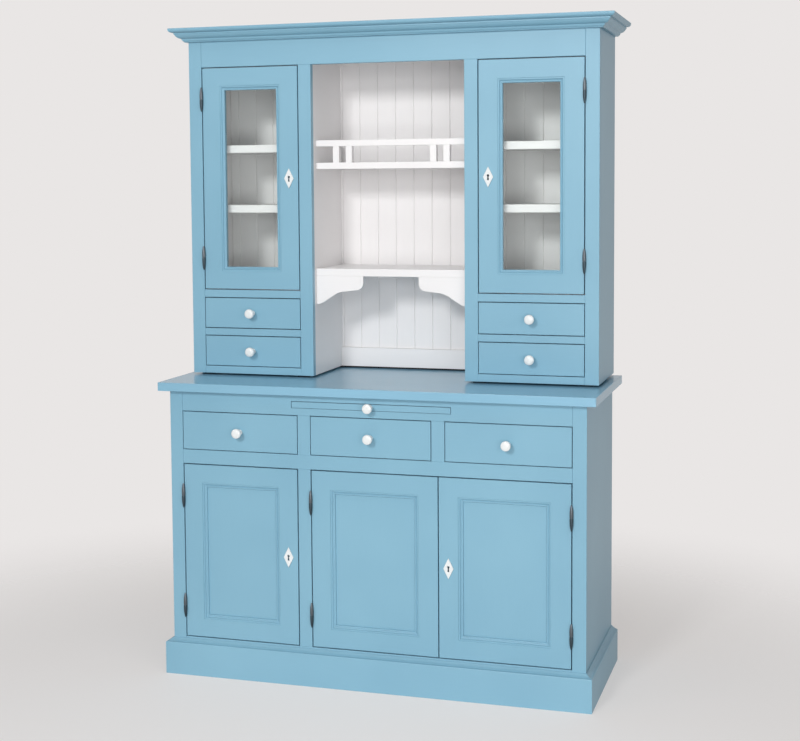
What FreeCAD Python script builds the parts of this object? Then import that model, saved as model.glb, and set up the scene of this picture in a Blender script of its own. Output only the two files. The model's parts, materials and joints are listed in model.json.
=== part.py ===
import FreeCAD, Part
import math
import os
import re
import Sketcher

# Buffet cabinet: a base with three drawers, a pull-out board and three doors, and a hutch
# with an open niche between two glazed towers. All sizes are in millimetres.
# X runs to the viewer's right, the front faces -Y, and Z = 0 is the floor.

SIZES = {
    # overall carcass
    "base_width": 1290,
    "base_depth": 480,
    "worktop_top": 910,
    "worktop_thickness": 26,
    "worktop_side_overhang": 30,
    "worktop_front_overhang": 25,
    "worktop_round": 3,
    "side_thickness": 20,
    "frame_thickness": 22,
    "board_thickness": 18,
    "base_back_thickness": 8,
    "arris": 0.8,
    # base front, from the floor upwards
    "plinth_height": 111,
    "plinth_thickness": 20,
    "base_post_width": 41,
    "base_stile_width": 40,
    "base_bottom_rail": 50,
    "base_rail_top": 116,
    "base_door_opening": 543.5,
    "base_mid_rail": 43,
    "base_drawer_opening": 119.5,
    "slot_rail": 21.5,
    "slot_height": 21,
    "slot_width": 495,
    "base_shelf_height": 270,
    "base_shelf_set_back": 60,
    # pull-out board
    "slide_thickness": 19,
    "slide_low_gap": 0.6,
    "slide_back_gap": 72,
    "slide_side_play": 1.5,
    "slide_bearer_width": 40,
    "slide_guide_width": 20,
    "bearer_thickness": 12,
    # running clearances
    "door_gap": 3,
    "drawer_gap": 2,
    "slide_play": 0.3,
    "drawer_back_gap": 20,
    # drawers
    "drawer_front_thickness": 20,
    "drawer_side_thickness": 12,
    "drawer_side_drop": 12,
    "drawer_bottom_thickness": 6,
    "drawer_bottom_rise": 6,
    "drawer_guide_height": 20,
    "drawer_deck_thickness": 12,
    # doors
    "door_stile_width": 59,
    "door_rail_width": 56,
    "moulding_width": 13.5,
    "moulding_quirk": 2,
    "panel_recess": 10,
    "panel_thickness": 8,
    "glass_recess": 14,
    "glass_thickness": 3,
    "glass_bead_width": 12,
    "glass_bead_thickness": 5,
    # lift-off hinges
    "hinge_length": 76,
    "hinge_radius": 5.25,
    "hinge_stand": 5.75,
    "hinge_inset": 100,
    "hinge_pin_radius": 2.5,
    "hinge_pin_length": 18,
    "hinge_pin_play": 0.05,
    "hinge_end_play": 0.2,
    "hinge_leaf_thickness": 1.6,
    "hinge_leaf_depth": 18,
    # locks, slide bolt and escutcheons
    "lock_width": 52,
    "lock_height": 60,
    "lock_thickness": 14,
    "lock_edge_set_back": 2,
    "bolt_height": 12,
    "bolt_thickness": 6,
    "bolt_length": 42,
    "bolt_depth_in_case": 4,
    "slide_bolt_case_width": 28,
    "slide_bolt_case_height": 84,
    "slide_bolt_length": 70,
    "escutcheon_width": 31,
    "escutcheon_height": 62,
    "escutcheon_thickness": 3.5,
    "keyhole_radius": 3.8,
    "keyhole_drop": 13,
    # turned knobs
    "knob_diameter": 30,
    "knob_reach": 34,
    # hutch front, from the worktop upwards
    "hutch_side_overhang": 4,
    "hutch_set_back": 186,
    "hutch_lift": 6,
    "hutch_pad_size": 40,
    "hutch_pad_inset": 20,
    "hutch_strip_set_back": 2,
    "hutch_post_width": 42,
    "hutch_stile_width": 41,
    "hutch_bottom_rail": 23,
    "hutch_drawer_opening": 98.5,
    "hutch_drawer_rail": 22,
    "hutch_door_rail": 24,
    "hutch_door_opening": 697.5,
    "frieze_height": 79.5,
    "cornice_height": 41,
    "cornice_projection": 49,
    "top_recess": 10,
    # niche and towers
    "niche_width": 486,
    "niche_set_back": 42,
    "niche_shelf_set_back": 34,
    "niche_shelf_thickness": 23,
    "niche_shelf_height": 340,
    "gallery_shelf_height": 669,
    "gallery_shelf_thickness": 20,
    "gallery_height": 69,
    "gallery_rail_height": 19,
    "gallery_bar": 20,
    "gallery_inner_bar_place": 135,
    "gallery_outer_bar_place": 177,
    "bracket_length": 154,
    "bracket_height": 88,
    "bracket_thickness": 20,
    "skirting_height": 62,
    "skirting_thickness": 9,
    "tower_shelf_thickness": 24,
    "tower_lower_shelf_height": 266,
    "tower_upper_shelf_height": 454.5,
    # matched boards of the hutch back
    "back_thickness": 13,
    "back_board_width": 60.5,
    "back_joint_offset": 4.5,
    "back_vee": 2,
}

# Planes and lines worked out from the sizes.
PLACES = {
    "front_y": "(knob_reach - base_depth) / 2",
    "back_y": "front_y + base_depth",
    "frame_back_y": "front_y + frame_thickness",
    "base_inner_y": "back_y - base_back_thickness",
    "base_half": "base_width / 2",
    "base_inner_x": "base_half - side_thickness",
    "base_post_x": "base_half - base_post_width",
    "base_bay": "(2 * base_post_x - 2 * base_stile_width) / 3",
    "stile_in_x": "base_bay / 2",
    "stile_out_x": "stile_in_x + base_stile_width",
    "meeting_x": "(base_post_x - stile_in_x) / 2",
    "worktop_low": "worktop_top - worktop_thickness",
    "base_door_top": "base_rail_top + base_door_opening",
    "base_drawer_low": "base_door_top + base_mid_rail",
    "base_drawer_high": "base_drawer_low + base_drawer_opening",
    "slot_low": "base_drawer_high + slot_rail",
    "slot_high": "slot_low + slot_height",
    "slide_low": "slot_low + slide_low_gap",
    "deck_rise": "drawer_gap - slide_play",
    "hutch_front_y": "front_y + hutch_set_back",
    "hutch_frame_back_y": "hutch_front_y + frame_thickness",
    "hutch_inner_y": "back_y - back_thickness",
    "hutch_half": "base_half + hutch_side_overhang",
    "hutch_inner_x": "hutch_half - side_thickness",
    "hutch_post_x": "hutch_half - hutch_post_width",
    "niche_half": "niche_width / 2",
    "tower_inner_x": "niche_half + board_thickness",
    "tower_stile_x": "niche_half + hutch_stile_width",
    "hutch_low": "worktop_top + hutch_lift",
    "lower_drawer_low": "hutch_low + hutch_bottom_rail",
    "lower_drawer_high": "lower_drawer_low + hutch_drawer_opening",
    "upper_drawer_low": "lower_drawer_high + hutch_drawer_rail",
    "upper_drawer_high": "upper_drawer_low + hutch_drawer_opening",
    "glass_door_low": "upper_drawer_high + hutch_door_rail",
    "glass_door_high": "glass_door_low + hutch_door_opening",
    "frieze_high": "glass_door_high + frieze_height",
    "cabinet_high": "frieze_high + cornice_height",
    "carcass_high": "cabinet_high - top_recess",
    "ceiling_z": "carcass_high - board_thickness",
    "niche_front_y": "hutch_front_y + niche_set_back",
    "niche_shelf_y": "hutch_front_y + niche_shelf_set_back",
    "niche_shelf_top": "worktop_top + niche_shelf_height",
    "gallery_shelf_top": "worktop_top + gallery_shelf_height",
}

# Outlines as shares of a width and a height. A third number bows the edge that follows
# its point into an arc: the tangent of a quarter of the arc's angle, positive where the
# way round the outline turns left.
QUARTER_SHARE = math.tan(math.pi / 8)
SHALLOW_SHARE = math.tan(math.pi / 12)
GENTLE_SHARE = math.tan(math.pi / 24)
TAPER_SHARE = math.tan(math.pi / 50)

CORNICE_SHARES = [
    (0, 0), (0.215, 0), (0.215, 0.04, SHALLOW_SHARE), (0.335, 0.23), (0.365, 0.25, SHALLOW_SHARE),
    (0.685, 0.56), (0.715, 0.56), (0.715, 0.68), (0.79, 0.68, SHALLOW_SHARE), (0.99, 0.82),
    (1, 0.96), (0.98, 1), (0, 1),
]
PLINTH_SHARES = [
    (0, 0), (1, 0), (1, 0.87, QUARTER_SHARE), (0.86, 0.905), (0.84, 0.905, -GENTLE_SHARE),
    (0.08, 1), (0, 1),
]
MOULDING_SHARES = [
    (0, 0), (0, 1), (0.3, 1, SHALLOW_SHARE), (0.6, 0.45), (0.66, 0.45, -QUARTER_SHARE),
    (0.82, 0.68, -QUARTER_SHARE), (1, 0.3), (1, 0),
]
GLASS_MOULDING_SHARES = [
    (0, 0), (0, 1), (0.3, 1, SHALLOW_SHARE), (0.6, 0.63), (0.66, 0.63, -QUARTER_SHARE),
    (0.82, 0.79, -QUARTER_SHARE), (1, 0.53), (1, 0),
]
BRACKET_SHARES = [
    (0, 0), (0, 0.22, -QUARTER_SHARE), (0.16, 0.5), (0.42, 0.55, GENTLE_SHARE), (0.64, 0.7),
    (0.82, 0.9, -GENTLE_SHARE), (0.95, 1), (1, 1), (1, 0),
]
KNOB_SHARES = [
    (0, 0), (0.6, 0), (0.6, 0.08, QUARTER_SHARE), (0.45, 0.13), (0.42, 0.3),
    (0.7, 0.44, SHALLOW_SHARE), (0.96, 0.63, SHALLOW_SHARE), (0.96, 0.75, SHALLOW_SHARE), (0, 1),
]
BARREL_SHARES = [
    (0.9, 0), (1, 0.06), (1, 0.3, TAPER_SHARE), (0.4, 0.95), (0.25, 1), (0, 1),
]
KEYHOLE_WAIST_SHARE = 0.4
KEYHOLE_ROUND_SHARE = math.tan((math.pi - math.asin(KEYHOLE_WAIST_SHARE)) / 2)
KEYHOLE_SHARES = [
    (-0.8, -0.75), (0.8, -0.75), (KEYHOLE_WAIST_SHARE, 0.06, KEYHOLE_ROUND_SHARE),
    (-KEYHOLE_WAIST_SHARE, 0.06),
]
DIAMOND_SHARES = [(1, 0), (0, 1), (-1, 0), (0, -1)]
HINGE_LEAF_SHARES = (0.1, 0.6)

# Two directions or two planes closer than this count as one.
TOLERANCE = 0.01

X_AXIS = FreeCAD.Vector(1, 0, 0)
Y_AXIS = FreeCAD.Vector(0, 1, 0)
Z_AXIS = FreeCAD.Vector(0, 0, 1)
UPRIGHT = FreeCAD.Rotation(X_AXIS, 90)
YZ_PLANE = FreeCAD.Rotation(FreeCAD.Vector(1, 1, 1), 120)

doc = FreeCAD.newDocument("BuffetCabinet")


def fill_sheet(name, cells):
    """One row a value: its word in column A, the value with that alias in column B."""
    sheet = doc.addObject("Spreadsheet::Sheet", name)
    for row, (alias, text) in enumerate(cells, 1):
        sheet.set(f"A{row}", alias)
        sheet.set(f"B{row}", text)
        sheet.setAlias(f"B{row}", alias)
    doc.recompute()
    return sheet


def qualified(text):
    """An expression with each known word led by the sheet that holds it."""
    def lead(match):
        word = match.group(0)
        if word in SIZES:
            return "Sizes." + word
        return "Places." + word if word in PLACES else word
    return re.sub(r"[a-z][a-z_]*", lead, str(text))


sizes = fill_sheet("Sizes", [(word, str(value)) for word, value in SIZES.items()])
places = fill_sheet("Places", [(word, "=" + qualified(text)) for word, text in PLACES.items()])
nodes = []


def number(text):
    """The present value of an expression."""
    result = sizes.evalExpression(qualified(text))
    return float(getattr(result, "Value", result))


def bind(item, field, text):
    item.setExpression(field, qualified(text))


def place(item, x="0", y="0", z="0", turn=None):
    """Put an object at a point given by three expressions."""
    if turn is not None:
        item.Placement = FreeCAD.Placement(FreeCAD.Vector(), turn)
    for axis, text in zip("xyz", (x, y, z)):
        bind(item, "Placement.Base." + axis, text)
    return item


def board(name, x, y, z, grain=None):
    """A board between three pairs of planes; its four arrises along the grain are eased."""
    box = doc.addObject("Part::Box", name)
    for side, (low, high) in zip(("Length", "Width", "Height"), (x, y, z)):
        bind(box, side, f"({high}) - ({low})")
    place(box, x[0], y[0], z[0])
    return ease(box, grain, "arris") if grain else box


def ease(item, grain, size, kind="Part::Chamfer", keep=None):
    """Chamfer or round the straight edges of a solid that run along its grain."""
    item.recompute()
    along = {"x": X_AXIS, "y": Y_AXIS, "z": Z_AXIS}[grain]
    chosen = []
    for index, edge in enumerate(item.Shape.Edges, 1):
        ends = [vertex.Point for vertex in edge.Vertexes]
        straight = (ends[1] - ends[0]).normalize().cross(along).Length < TOLERANCE
        if straight and (keep is None or keep(ends[0])):
            chosen.append(index)
    eased = doc.addObject(kind, item.Name + "_eased")
    eased.Base = item
    eased.Edges = [(index, number(size), number(size)) for index in chosen]
    return eased


def cut(name, base, tool):
    result = doc.addObject("Part::Cut", name)
    result.Base = base
    result.Tool = tool
    return result


def instance(name, source, x, y, z):
    """A copy of a master solid at a point."""
    copy = doc.addObject("Part::Compound", name)
    copy.Links = [source]
    return place(copy, x, y, z)


def node(label, pieces):
    """A named sub-part: one solid, or a group of separate solids."""
    item = doc.addObject("Part::Compound", label)
    item.Links = pieces
    item.Label = label
    nodes.append(item)
    return item


def mirrored(pair):
    """The same stretch on the other side of the middle plane."""
    return (f"-({pair[1]})", f"-({pair[0]})")


def on_side(side, pair):
    return pair if side > 0 else mirrored(pair)


def outline(sketch, points, wide, high):
    """A closed outline of lines and arcs, every point held by two bound dimensions."""
    spots = [(number(f"{p[0]} * ({wide})"), number(f"{p[1]} * ({high})")) for p in points]
    first = sketch.GeometryCount
    starts = []
    for index, point in enumerate(points):
        here = FreeCAD.Vector(*spots[index])
        there = FreeCAD.Vector(*spots[(index + 1) % len(spots)])
        bow = point[2] if len(point) > 2 else 0
        if bow == 0:
            sketch.addGeometry(Part.LineSegment(here, there), False)
            starts.append((1, 2))
            continue
        chord = there - here
        radius = chord.Length * (1 + bow * bow) / (4 * abs(bow))
        across = FreeCAD.Vector(-chord.y, chord.x, 0) / chord.Length
        centre = (here + there) / 2 + across * (chord.Length * (1 - bow * bow) / (4 * bow))
        begin, end = (here, there) if bow > 0 else (there, here)
        circle = Part.Circle(centre, Z_AXIS, radius)
        turns = [math.atan2(p.y - centre.y, p.x - centre.x) for p in (begin, end)]
        sketch.addGeometry(Part.ArcOfCircle(circle, turns[0], turns[1]), False)
        starts.append((1, 2) if bow > 0 else (2, 1))
    for index, point in enumerate(points):
        item = first + index
        after = (index + 1) % len(points)
        sketch.addConstraint(Sketcher.Constraint(
            "Coincident", item, starts[index][1], first + after, starts[after][0]))
        for share, span, kind, axis in ((point[0], wide, "DistanceX", -2),
                                        (point[1], high, "DistanceY", -1)):
            if share == 0:
                sketch.addConstraint(Sketcher.Constraint(
                    "PointOnObject", item, starts[index][0], axis))
                continue
            spot = spots[index][0 if kind == "DistanceX" else 1]
            row = sketch.addConstraint(Sketcher.Constraint(
                kind, -1, 1, item, starts[index][0], spot))
            bind(sketch, f"Constraints[{row}]", f"{share} * ({span})")
        if len(point) > 2:
            following = points[after]
            run = f"(({following[0] - point[0]}) * ({wide}))^2"
            rise = f"(({following[1] - point[1]}) * ({high}))^2"
            bow_share = (1 + point[2] ** 2) / (4 * abs(point[2]))
            radius = f"sqrt({run} + {rise}) * {bow_share}"
            row = sketch.addConstraint(Sketcher.Constraint("Radius", item, number(radius)))
            bind(sketch, f"Constraints[{row}]", radius)


def section(name, points, wide, high):
    """A moulding's section, standing in the YZ plane: width along Y and height along Z."""
    sketch = doc.addObject("Sketcher::SketchObject", name)
    outline(sketch, points, wide, high)
    sketch.Placement = FreeCAD.Placement(FreeCAD.Vector(), YZ_PLANE)
    return sketch


def strip(name, profile, wide, high, foot, crest, spot, turn):
    """A length of moulding with mitred ends.

    It runs along X from foot[0] to foot[1] at Y = 0 and from crest[0] to crest[1] at its
    full width, and is then turned and moved to its spot.
    """
    run = doc.addObject("Part::Extrusion", name + "_run")
    run.Base = profile
    run.DirMode = "Normal"
    run.Solid = True
    excess = f"({foot[1]}) - ({foot[0]}) - ({crest[1]}) + ({crest[0]})"
    longer = foot if number(excess) > 0 else crest
    bind(run, "LengthFwd", longer[1])
    bind(run, "LengthRev", f"-({longer[0]})")
    mitre = doc.addObject("Part::Wedge", name + "_mitre")
    for field, text in (("Xmin", foot[0]), ("Xmax", foot[1]), ("X2min", crest[0]),
                        ("X2max", crest[1]), ("Ymin", "0"), ("Ymax", wide), ("Zmin", "0"),
                        ("Zmax", high), ("Z2min", "0"), ("Z2max", high)):
        bind(mitre, field, text)
    piece = doc.addObject("Part::Common", name)
    piece.Base = run
    piece.Tool = mitre
    return place(piece, *spot, turn=turn)


def body_sketch(body, plane, name):
    sketch = body.newObject("Sketcher::SketchObject", name)
    for feature in body.Origin.OriginFeatures:
        if feature.Role == plane:
            sketch.AttachmentSupport = [(feature, "")]
    sketch.MapMode = "FlatFace"
    return sketch


def turned(name, plane, points, wide, high):
    """A turned solid: its outline holds radii along X, revolved about the upright axis."""
    body = doc.addObject("PartDesign::Body", name)
    sketch = body_sketch(body, plane, name + "_outline")
    outline(sketch, points, wide, high)
    spin = body.newObject("PartDesign::Revolution", name + "_turning")
    spin.Profile = sketch
    spin.ReferenceAxis = (sketch, ["V_Axis"])
    spin.Angle = 360
    body.Tip = spin
    return body


def carcass_surround(name, profile, wide, high, half, face_y, z):
    """Three mitred mouldings round the front and sides of a carcass."""
    depth = f"back_y - ({face_y})"
    front = strip(name + "_front", profile, wide, high, (f"-({half})", half),
                  (f"-({half}) - {wide}", f"{half} + {wide}"), ("0", face_y, z),
                  FreeCAD.Rotation(Z_AXIS, 180))
    right = strip(name + "_right", profile, wide, high, ("0", depth),
                  ("0", f"{depth} + {wide}"), (half, "back_y", z),
                  FreeCAD.Rotation(Z_AXIS, -90))
    left = strip(name + "_left", profile, wide, high, (f"-({depth})", "0"),
                 (f"-({depth}) - {wide}", "0"), (f"-({half})", "back_y", z),
                 FreeCAD.Rotation(Z_AXIS, 90))
    return [front, right, left]


# Masters of the repeated fittings, each made once at the origin.

def knob_master():
    """A turned porcelain knob on the Y axis, its foot at Y = 0 and its head towards -Y."""
    points = [(p[0], -p[1]) + tuple(-b for b in p[2:]) for p in KNOB_SHARES]
    return turned("knob_master", "XY_Plane", points, "knob_diameter / 2", "knob_reach")


def hinge_master(name, upper, side):
    """Half of a lift-off hinge about the Z axis, with the leaf that enters the door's gap.

    side is +1 when the door lies to the right of the axis. The lower half carries the pin
    and is fixed to the frame; the upper half is bored and is fixed to the door.
    """
    sign = 1 if upper else -1
    high = "(hinge_length / 2 - hinge_end_play)"
    rise = "(hinge_end_play / 2)"
    points = [(p[0], sign * p[1]) + tuple(sign * b for b in p[2:]) for p in BARREL_SHARES]
    barrel = turned(name + "_barrel", "XZ_Plane", [(0, 0)] + points, "hinge_radius", high)
    place(barrel, z=rise if upper else f"-{rise}")

    own_edge = side if upper else -side
    edge = "door_gap / 2"
    leaf_x = on_side(own_edge, (f"{edge} - hinge_leaf_thickness", edge))
    leaf_z = [f"{share} * hinge_length / 2" for share in HINGE_LEAF_SHARES]
    leaf = board(name + "_leaf", leaf_x, ("0", "hinge_stand + hinge_leaf_depth"),
                 on_side(sign, leaf_z))
    whole = doc.addObject("Part::Fuse", name + "_whole")
    whole.Base = barrel
    whole.Tool = leaf

    pin = doc.addObject("Part::Cylinder", name + ("_bore" if upper else "_pin"))
    bind(pin, "Radius", "hinge_pin_radius" + (" + hinge_pin_play" if upper else ""))
    if upper:
        bind(pin, "Height", "hinge_pin_length + 2 * hinge_end_play")
        return cut(name, whole, pin)
    bind(pin, "Height", "hinge_pin_length + hinge_end_play")
    place(pin, z="-hinge_end_play")
    pinned = doc.addObject("Part::Fuse", name)
    pinned.Base = whole
    pinned.Tool = pin
    return pinned


def escutcheon_master():
    """A diamond plate on the XZ plane with a keyhole through it, its face towards -Y."""
    body = doc.addObject("PartDesign::Body", "escutcheon_master")
    sketch = body_sketch(body, "XZ_Plane", "escutcheon_outline")
    outline(sketch, DIAMOND_SHARES, "escutcheon_width / 2", "escutcheon_height / 2")
    outline(sketch, KEYHOLE_SHARES, "keyhole_radius", "keyhole_drop")
    pad = body.newObject("PartDesign::Pad", "escutcheon_plate")
    pad.Profile = sketch
    bind(pad, "Length", "escutcheon_thickness")
    body.Tip = pad
    return body


knob = knob_master()
escutcheon = escutcheon_master()
hinge_halves = {
    (upper, side): hinge_master(f"hinge_{'upper' if upper else 'lower'}_{label}", upper, side)
    for upper in (True, False) for side, label in ((1, "left"), (-1, "right"))
}
moulding_sections = {
    recess: section(name, shares, "moulding_width", f"({recess} - moulding_quirk)")
    for recess, name, shares in (("panel_recess", "panel_moulding_section", MOULDING_SHARES),
                                 ("glass_recess", "glass_moulding_section",
                                  GLASS_MOULDING_SHARES))
}


# Base carcass. Both carcass functions return their drawer runners and guides.

def make_base():
    frame_y = ("front_y", "frame_back_y")
    inside_y = ("frame_back_y", "base_inner_y")
    across = ("-base_post_x", "base_post_x")

    posts = [board(f"base_post_{name}", on_side(side, ("base_post_x", "base_half")), frame_y,
                   ("0", "worktop_low"), "z") for name, side in (("left", -1), ("right", 1))]
    rails = [
        board("base_bottom_rail", across, frame_y,
              ("base_rail_top - base_bottom_rail", "base_rail_top"), "x"),
        board("base_mid_rail", across, frame_y, ("base_door_top", "base_drawer_low"), "x"),
    ]
    top_rail = board("base_top_rail", across, frame_y, ("base_drawer_high", "worktop_low"), "x")
    slot = board("base_board_slot", ("-slot_width / 2", "slot_width / 2"),
                 ("front_y - arris", "frame_back_y + arris"), ("slot_low", "slot_high"))
    rails.append(cut("base_slotted_rail", top_rail, slot))
    stile = ("stile_in_x", "stile_out_x")
    stiles = [board("base_door_stile", mirrored(stile), frame_y,
                    ("base_rail_top", "base_door_top"), "z")]
    stiles += [board(f"base_drawer_stile_{name}", on_side(side, stile), frame_y,
                     ("base_drawer_low", "base_drawer_high"), "z")
               for name, side in (("left", -1), ("right", 1))]
    node("base_front_frame", posts + rails + stiles)

    node("base_sides", [board(f"base_side_{name}",
                              on_side(side, ("base_inner_x", "base_half")),
                              ("frame_back_y", "back_y"), ("0", "worktop_low"))
                        for name, side in (("left", -1), ("right", 1))])
    node("base_back_panel", [board("base_back", ("-base_inner_x", "base_inner_x"),
                                   ("base_inner_y", "back_y"),
                                   ("base_rail_top - base_bottom_rail", "worktop_low"))])

    inside_x = ("-base_inner_x", "base_inner_x")
    deck_top = "base_drawer_low + deck_rise"
    deck_low = f"{deck_top} - drawer_deck_thickness"
    middle = "(stile_in_x + stile_out_x) / 2"
    divider_x = (f"-{middle} - board_thickness / 2", f"-{middle} + board_thickness / 2")
    shelf_y = ("frame_back_y + base_shelf_set_back", "base_inner_y")
    shelf_z = ("base_rail_top + base_shelf_height - board_thickness",
               "base_rail_top + base_shelf_height")
    node("base_inner_boards", [
        board("base_bottom", inside_x, inside_y,
              ("base_rail_top - board_thickness", "base_rail_top")),
        board("base_divider", divider_x, inside_y, ("base_rail_top", deck_low)),
        board("base_drawer_deck", inside_x, inside_y, (deck_low, deck_top)),
        board("base_left_shelf", ("-base_inner_x", divider_x[0]), shelf_y, shelf_z, "x"),
        board("base_right_shelf", (divider_x[1], "base_inner_x"), shelf_y, shelf_z, "x"),
    ])

    guide_z = (deck_top, f"{deck_top} + drawer_guide_height")
    guide_stretches = [("base_post_x", "base_inner_x"), stile]
    guides = [board(f"base_guide_{label}_{name}", on_side(side, stretch), inside_y, guide_z)
              for label, stretch in zip(("outer", "inner"), guide_stretches)
              for name, side in (("left", -1), ("right", 1))]
    bearer_top = "slide_low - slide_play"
    bearers = []
    for name, side in (("left", -1), ("right", 1)):
        bearer_x = on_side(side, ("slot_width / 2 - slide_bearer_width", "slot_width / 2"))
        guide_x = on_side(side, ("slot_width / 2", "slot_width / 2 + slide_guide_width"))
        bearers.append(board(f"slide_bearer_{name}", bearer_x, inside_y,
                             (f"{bearer_top} - bearer_thickness", bearer_top)))
        bearers.append(board(f"slide_guide_{name}", guide_x, inside_y,
                             (f"{bearer_top} - bearer_thickness", "slot_high")))
    plinth = section("plinth_section", PLINTH_SHARES, "plinth_thickness", "plinth_height")
    node("plinth", carcass_surround("plinth", plinth, "plinth_thickness", "plinth_height",
                                    "base_half", "front_y", "0"))

    top = board("worktop_board",
                ("-base_half - worktop_side_overhang", "base_half + worktop_side_overhang"),
                ("front_y - worktop_front_overhang", "back_y"), ("worktop_low", "worktop_top"))
    rounded = ease(top, "z", "worktop_round", "Part::Fillet", lambda p: p.y < 0)
    node("worktop", [ease(rounded, "x", "arris")])
    return guides + bearers


# Hutch carcass.

def make_hutch():
    frame_y = ("hutch_front_y", "hutch_frame_back_y")
    inside_y = ("hutch_frame_back_y", "hutch_inner_y")
    post = ("hutch_post_x", "hutch_half")
    stile = ("niche_half", "tower_stile_x")
    sides = (("left", -1), ("right", 1))

    frame = [board("hutch_frieze", ("-hutch_post_x", "hutch_post_x"), frame_y,
                   ("glass_door_high", "carcass_high"), "x")]
    rail_rows = {"bottom": ("hutch_low", "lower_drawer_low"),
                 "middle": ("lower_drawer_high", "upper_drawer_low"),
                 "door": ("upper_drawer_high", "glass_door_low")}
    for name, side in sides:
        frame.append(board(f"hutch_post_{name}", on_side(side, post), frame_y,
                           ("hutch_low", "carcass_high"), "z"))
        frame.append(board(f"hutch_stile_{name}", on_side(side, stile), frame_y,
                           ("hutch_low", "glass_door_high"), "z"))
        for row, span in rail_rows.items():
            frame.append(board(f"hutch_{row}_rail_{name}",
                               on_side(side, ("tower_stile_x", "hutch_post_x")),
                               frame_y, span, "x"))
    node("hutch_front_frame", frame)

    node("hutch_sides", [board(f"hutch_side_{name}",
                               on_side(side, ("hutch_inner_x", "hutch_half")),
                               ("hutch_frame_back_y", "back_y"),
                               ("hutch_low", "carcass_high")) for name, side in sides])
    node("niche_walls", [board(f"niche_wall_{name}",
                               on_side(side, ("niche_half", "tower_inner_x")), inside_y,
                               ("hutch_low", "ceiling_z")) for name, side in sides])
    node("hutch_top", [board("hutch_top_board", ("-hutch_inner_x", "hutch_inner_x"),
                             inside_y, ("ceiling_z", "carcass_high"))])

    tower_x = ("tower_inner_x", "hutch_inner_x")
    floors, guides = [], []
    for name, side in sides:
        span = on_side(side, tower_x)
        for row, low, thick in (("lower", "lower_drawer_low", "board_thickness"),
                                ("upper", "upper_drawer_low", "drawer_deck_thickness")):
            deck_top = f"{low} + deck_rise"
            floors.append(board(f"{row}_drawer_deck_{name}", span, inside_y,
                                (f"{deck_top} - {thick}", deck_top)))
            guide_z = (deck_top, f"{deck_top} + drawer_guide_height")
            for place_name, stretch in (("outer", ("hutch_post_x", "hutch_inner_x")),
                                        ("inner", ("tower_inner_x", "tower_stile_x"))):
                guides.append(board(f"{row}_{place_name}_guide_{name}",
                                    on_side(side, stretch), inside_y, guide_z))
        floors.append(board(f"bay_floor_{name}", span, inside_y,
                            ("glass_door_low - board_thickness", "glass_door_low")))
        for row in ("lower", "upper"):
            top = f"glass_door_low + tower_{row}_shelf_height"
            floors.append(board(f"tower_{row}_shelf_{name}", span,
                                ("niche_front_y", "hutch_inner_y"),
                                (f"{top} - tower_shelf_thickness", top), "x"))
    node("tower_shelves", floors)

    make_back_boards()
    cornice = section("cornice_section", CORNICE_SHARES, "cornice_projection",
                      "cornice_height")
    node("cornice", carcass_surround("cornice", cornice, "cornice_projection",
                                     "cornice_height", "hutch_half", "hutch_front_y",
                                     "frieze_high"))
    pads = []
    for name, side in sides:
        outer = ("hutch_half - hutch_pad_inset - hutch_pad_size", "hutch_half - hutch_pad_inset")
        inner = ("niche_half + hutch_pad_inset", "niche_half + hutch_pad_inset + hutch_pad_size")
        front = ("hutch_front_y + hutch_pad_inset",
                 "hutch_front_y + hutch_pad_inset + hutch_pad_size")
        rear = ("back_y - hutch_pad_inset - hutch_pad_size", "back_y - hutch_pad_inset")
        for label, x, y in (("outer_front", outer, front), ("inner_front", inner, front),
                            ("outer_rear", outer, rear), ("inner_rear", inner, rear)):
            pads.append(board(f"hutch_pad_{name}_{label}", on_side(side, x), y,
                              ("worktop_top", "hutch_low")))
    # the strip under the back boards keeps the gap behind the niche dark
    pads.append(board("hutch_back_strip", ("-hutch_inner_x", "hutch_inner_x"),
                      ("hutch_inner_y", "back_y - hutch_strip_set_back"),
                      ("worktop_top", "hutch_low"), "x"))
    node("hutch_pads", pads)
    return guides


def make_back_boards():
    """Matched boards across the back, with a V where each two meet."""
    half = number("hutch_inner_x")
    face_y = number("hutch_inner_y")
    pitch = number("back_board_width")
    first = math.floor((-half - number("back_joint_offset")) / pitch)
    last = math.ceil((half - number("back_joint_offset")) / pitch)
    boards = []
    for step in range(first, last):
        low = f"back_joint_offset + {step} * back_board_width"
        high = f"back_joint_offset + {step + 1} * back_board_width"
        if step == first:
            low = "-hutch_inner_x"
        if step == last - 1:
            high = "hutch_inner_x"
        plain = board(f"back_board_{step - first + 1}", (low, high),
                      ("hutch_inner_y", "back_y"), ("hutch_low", "carcass_high"))
        boards.append(ease(plain, "z", "back_vee", keep=lambda p: abs(p.y - face_y) < TOLERANCE))
    node("hutch_back_boards", boards)


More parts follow.
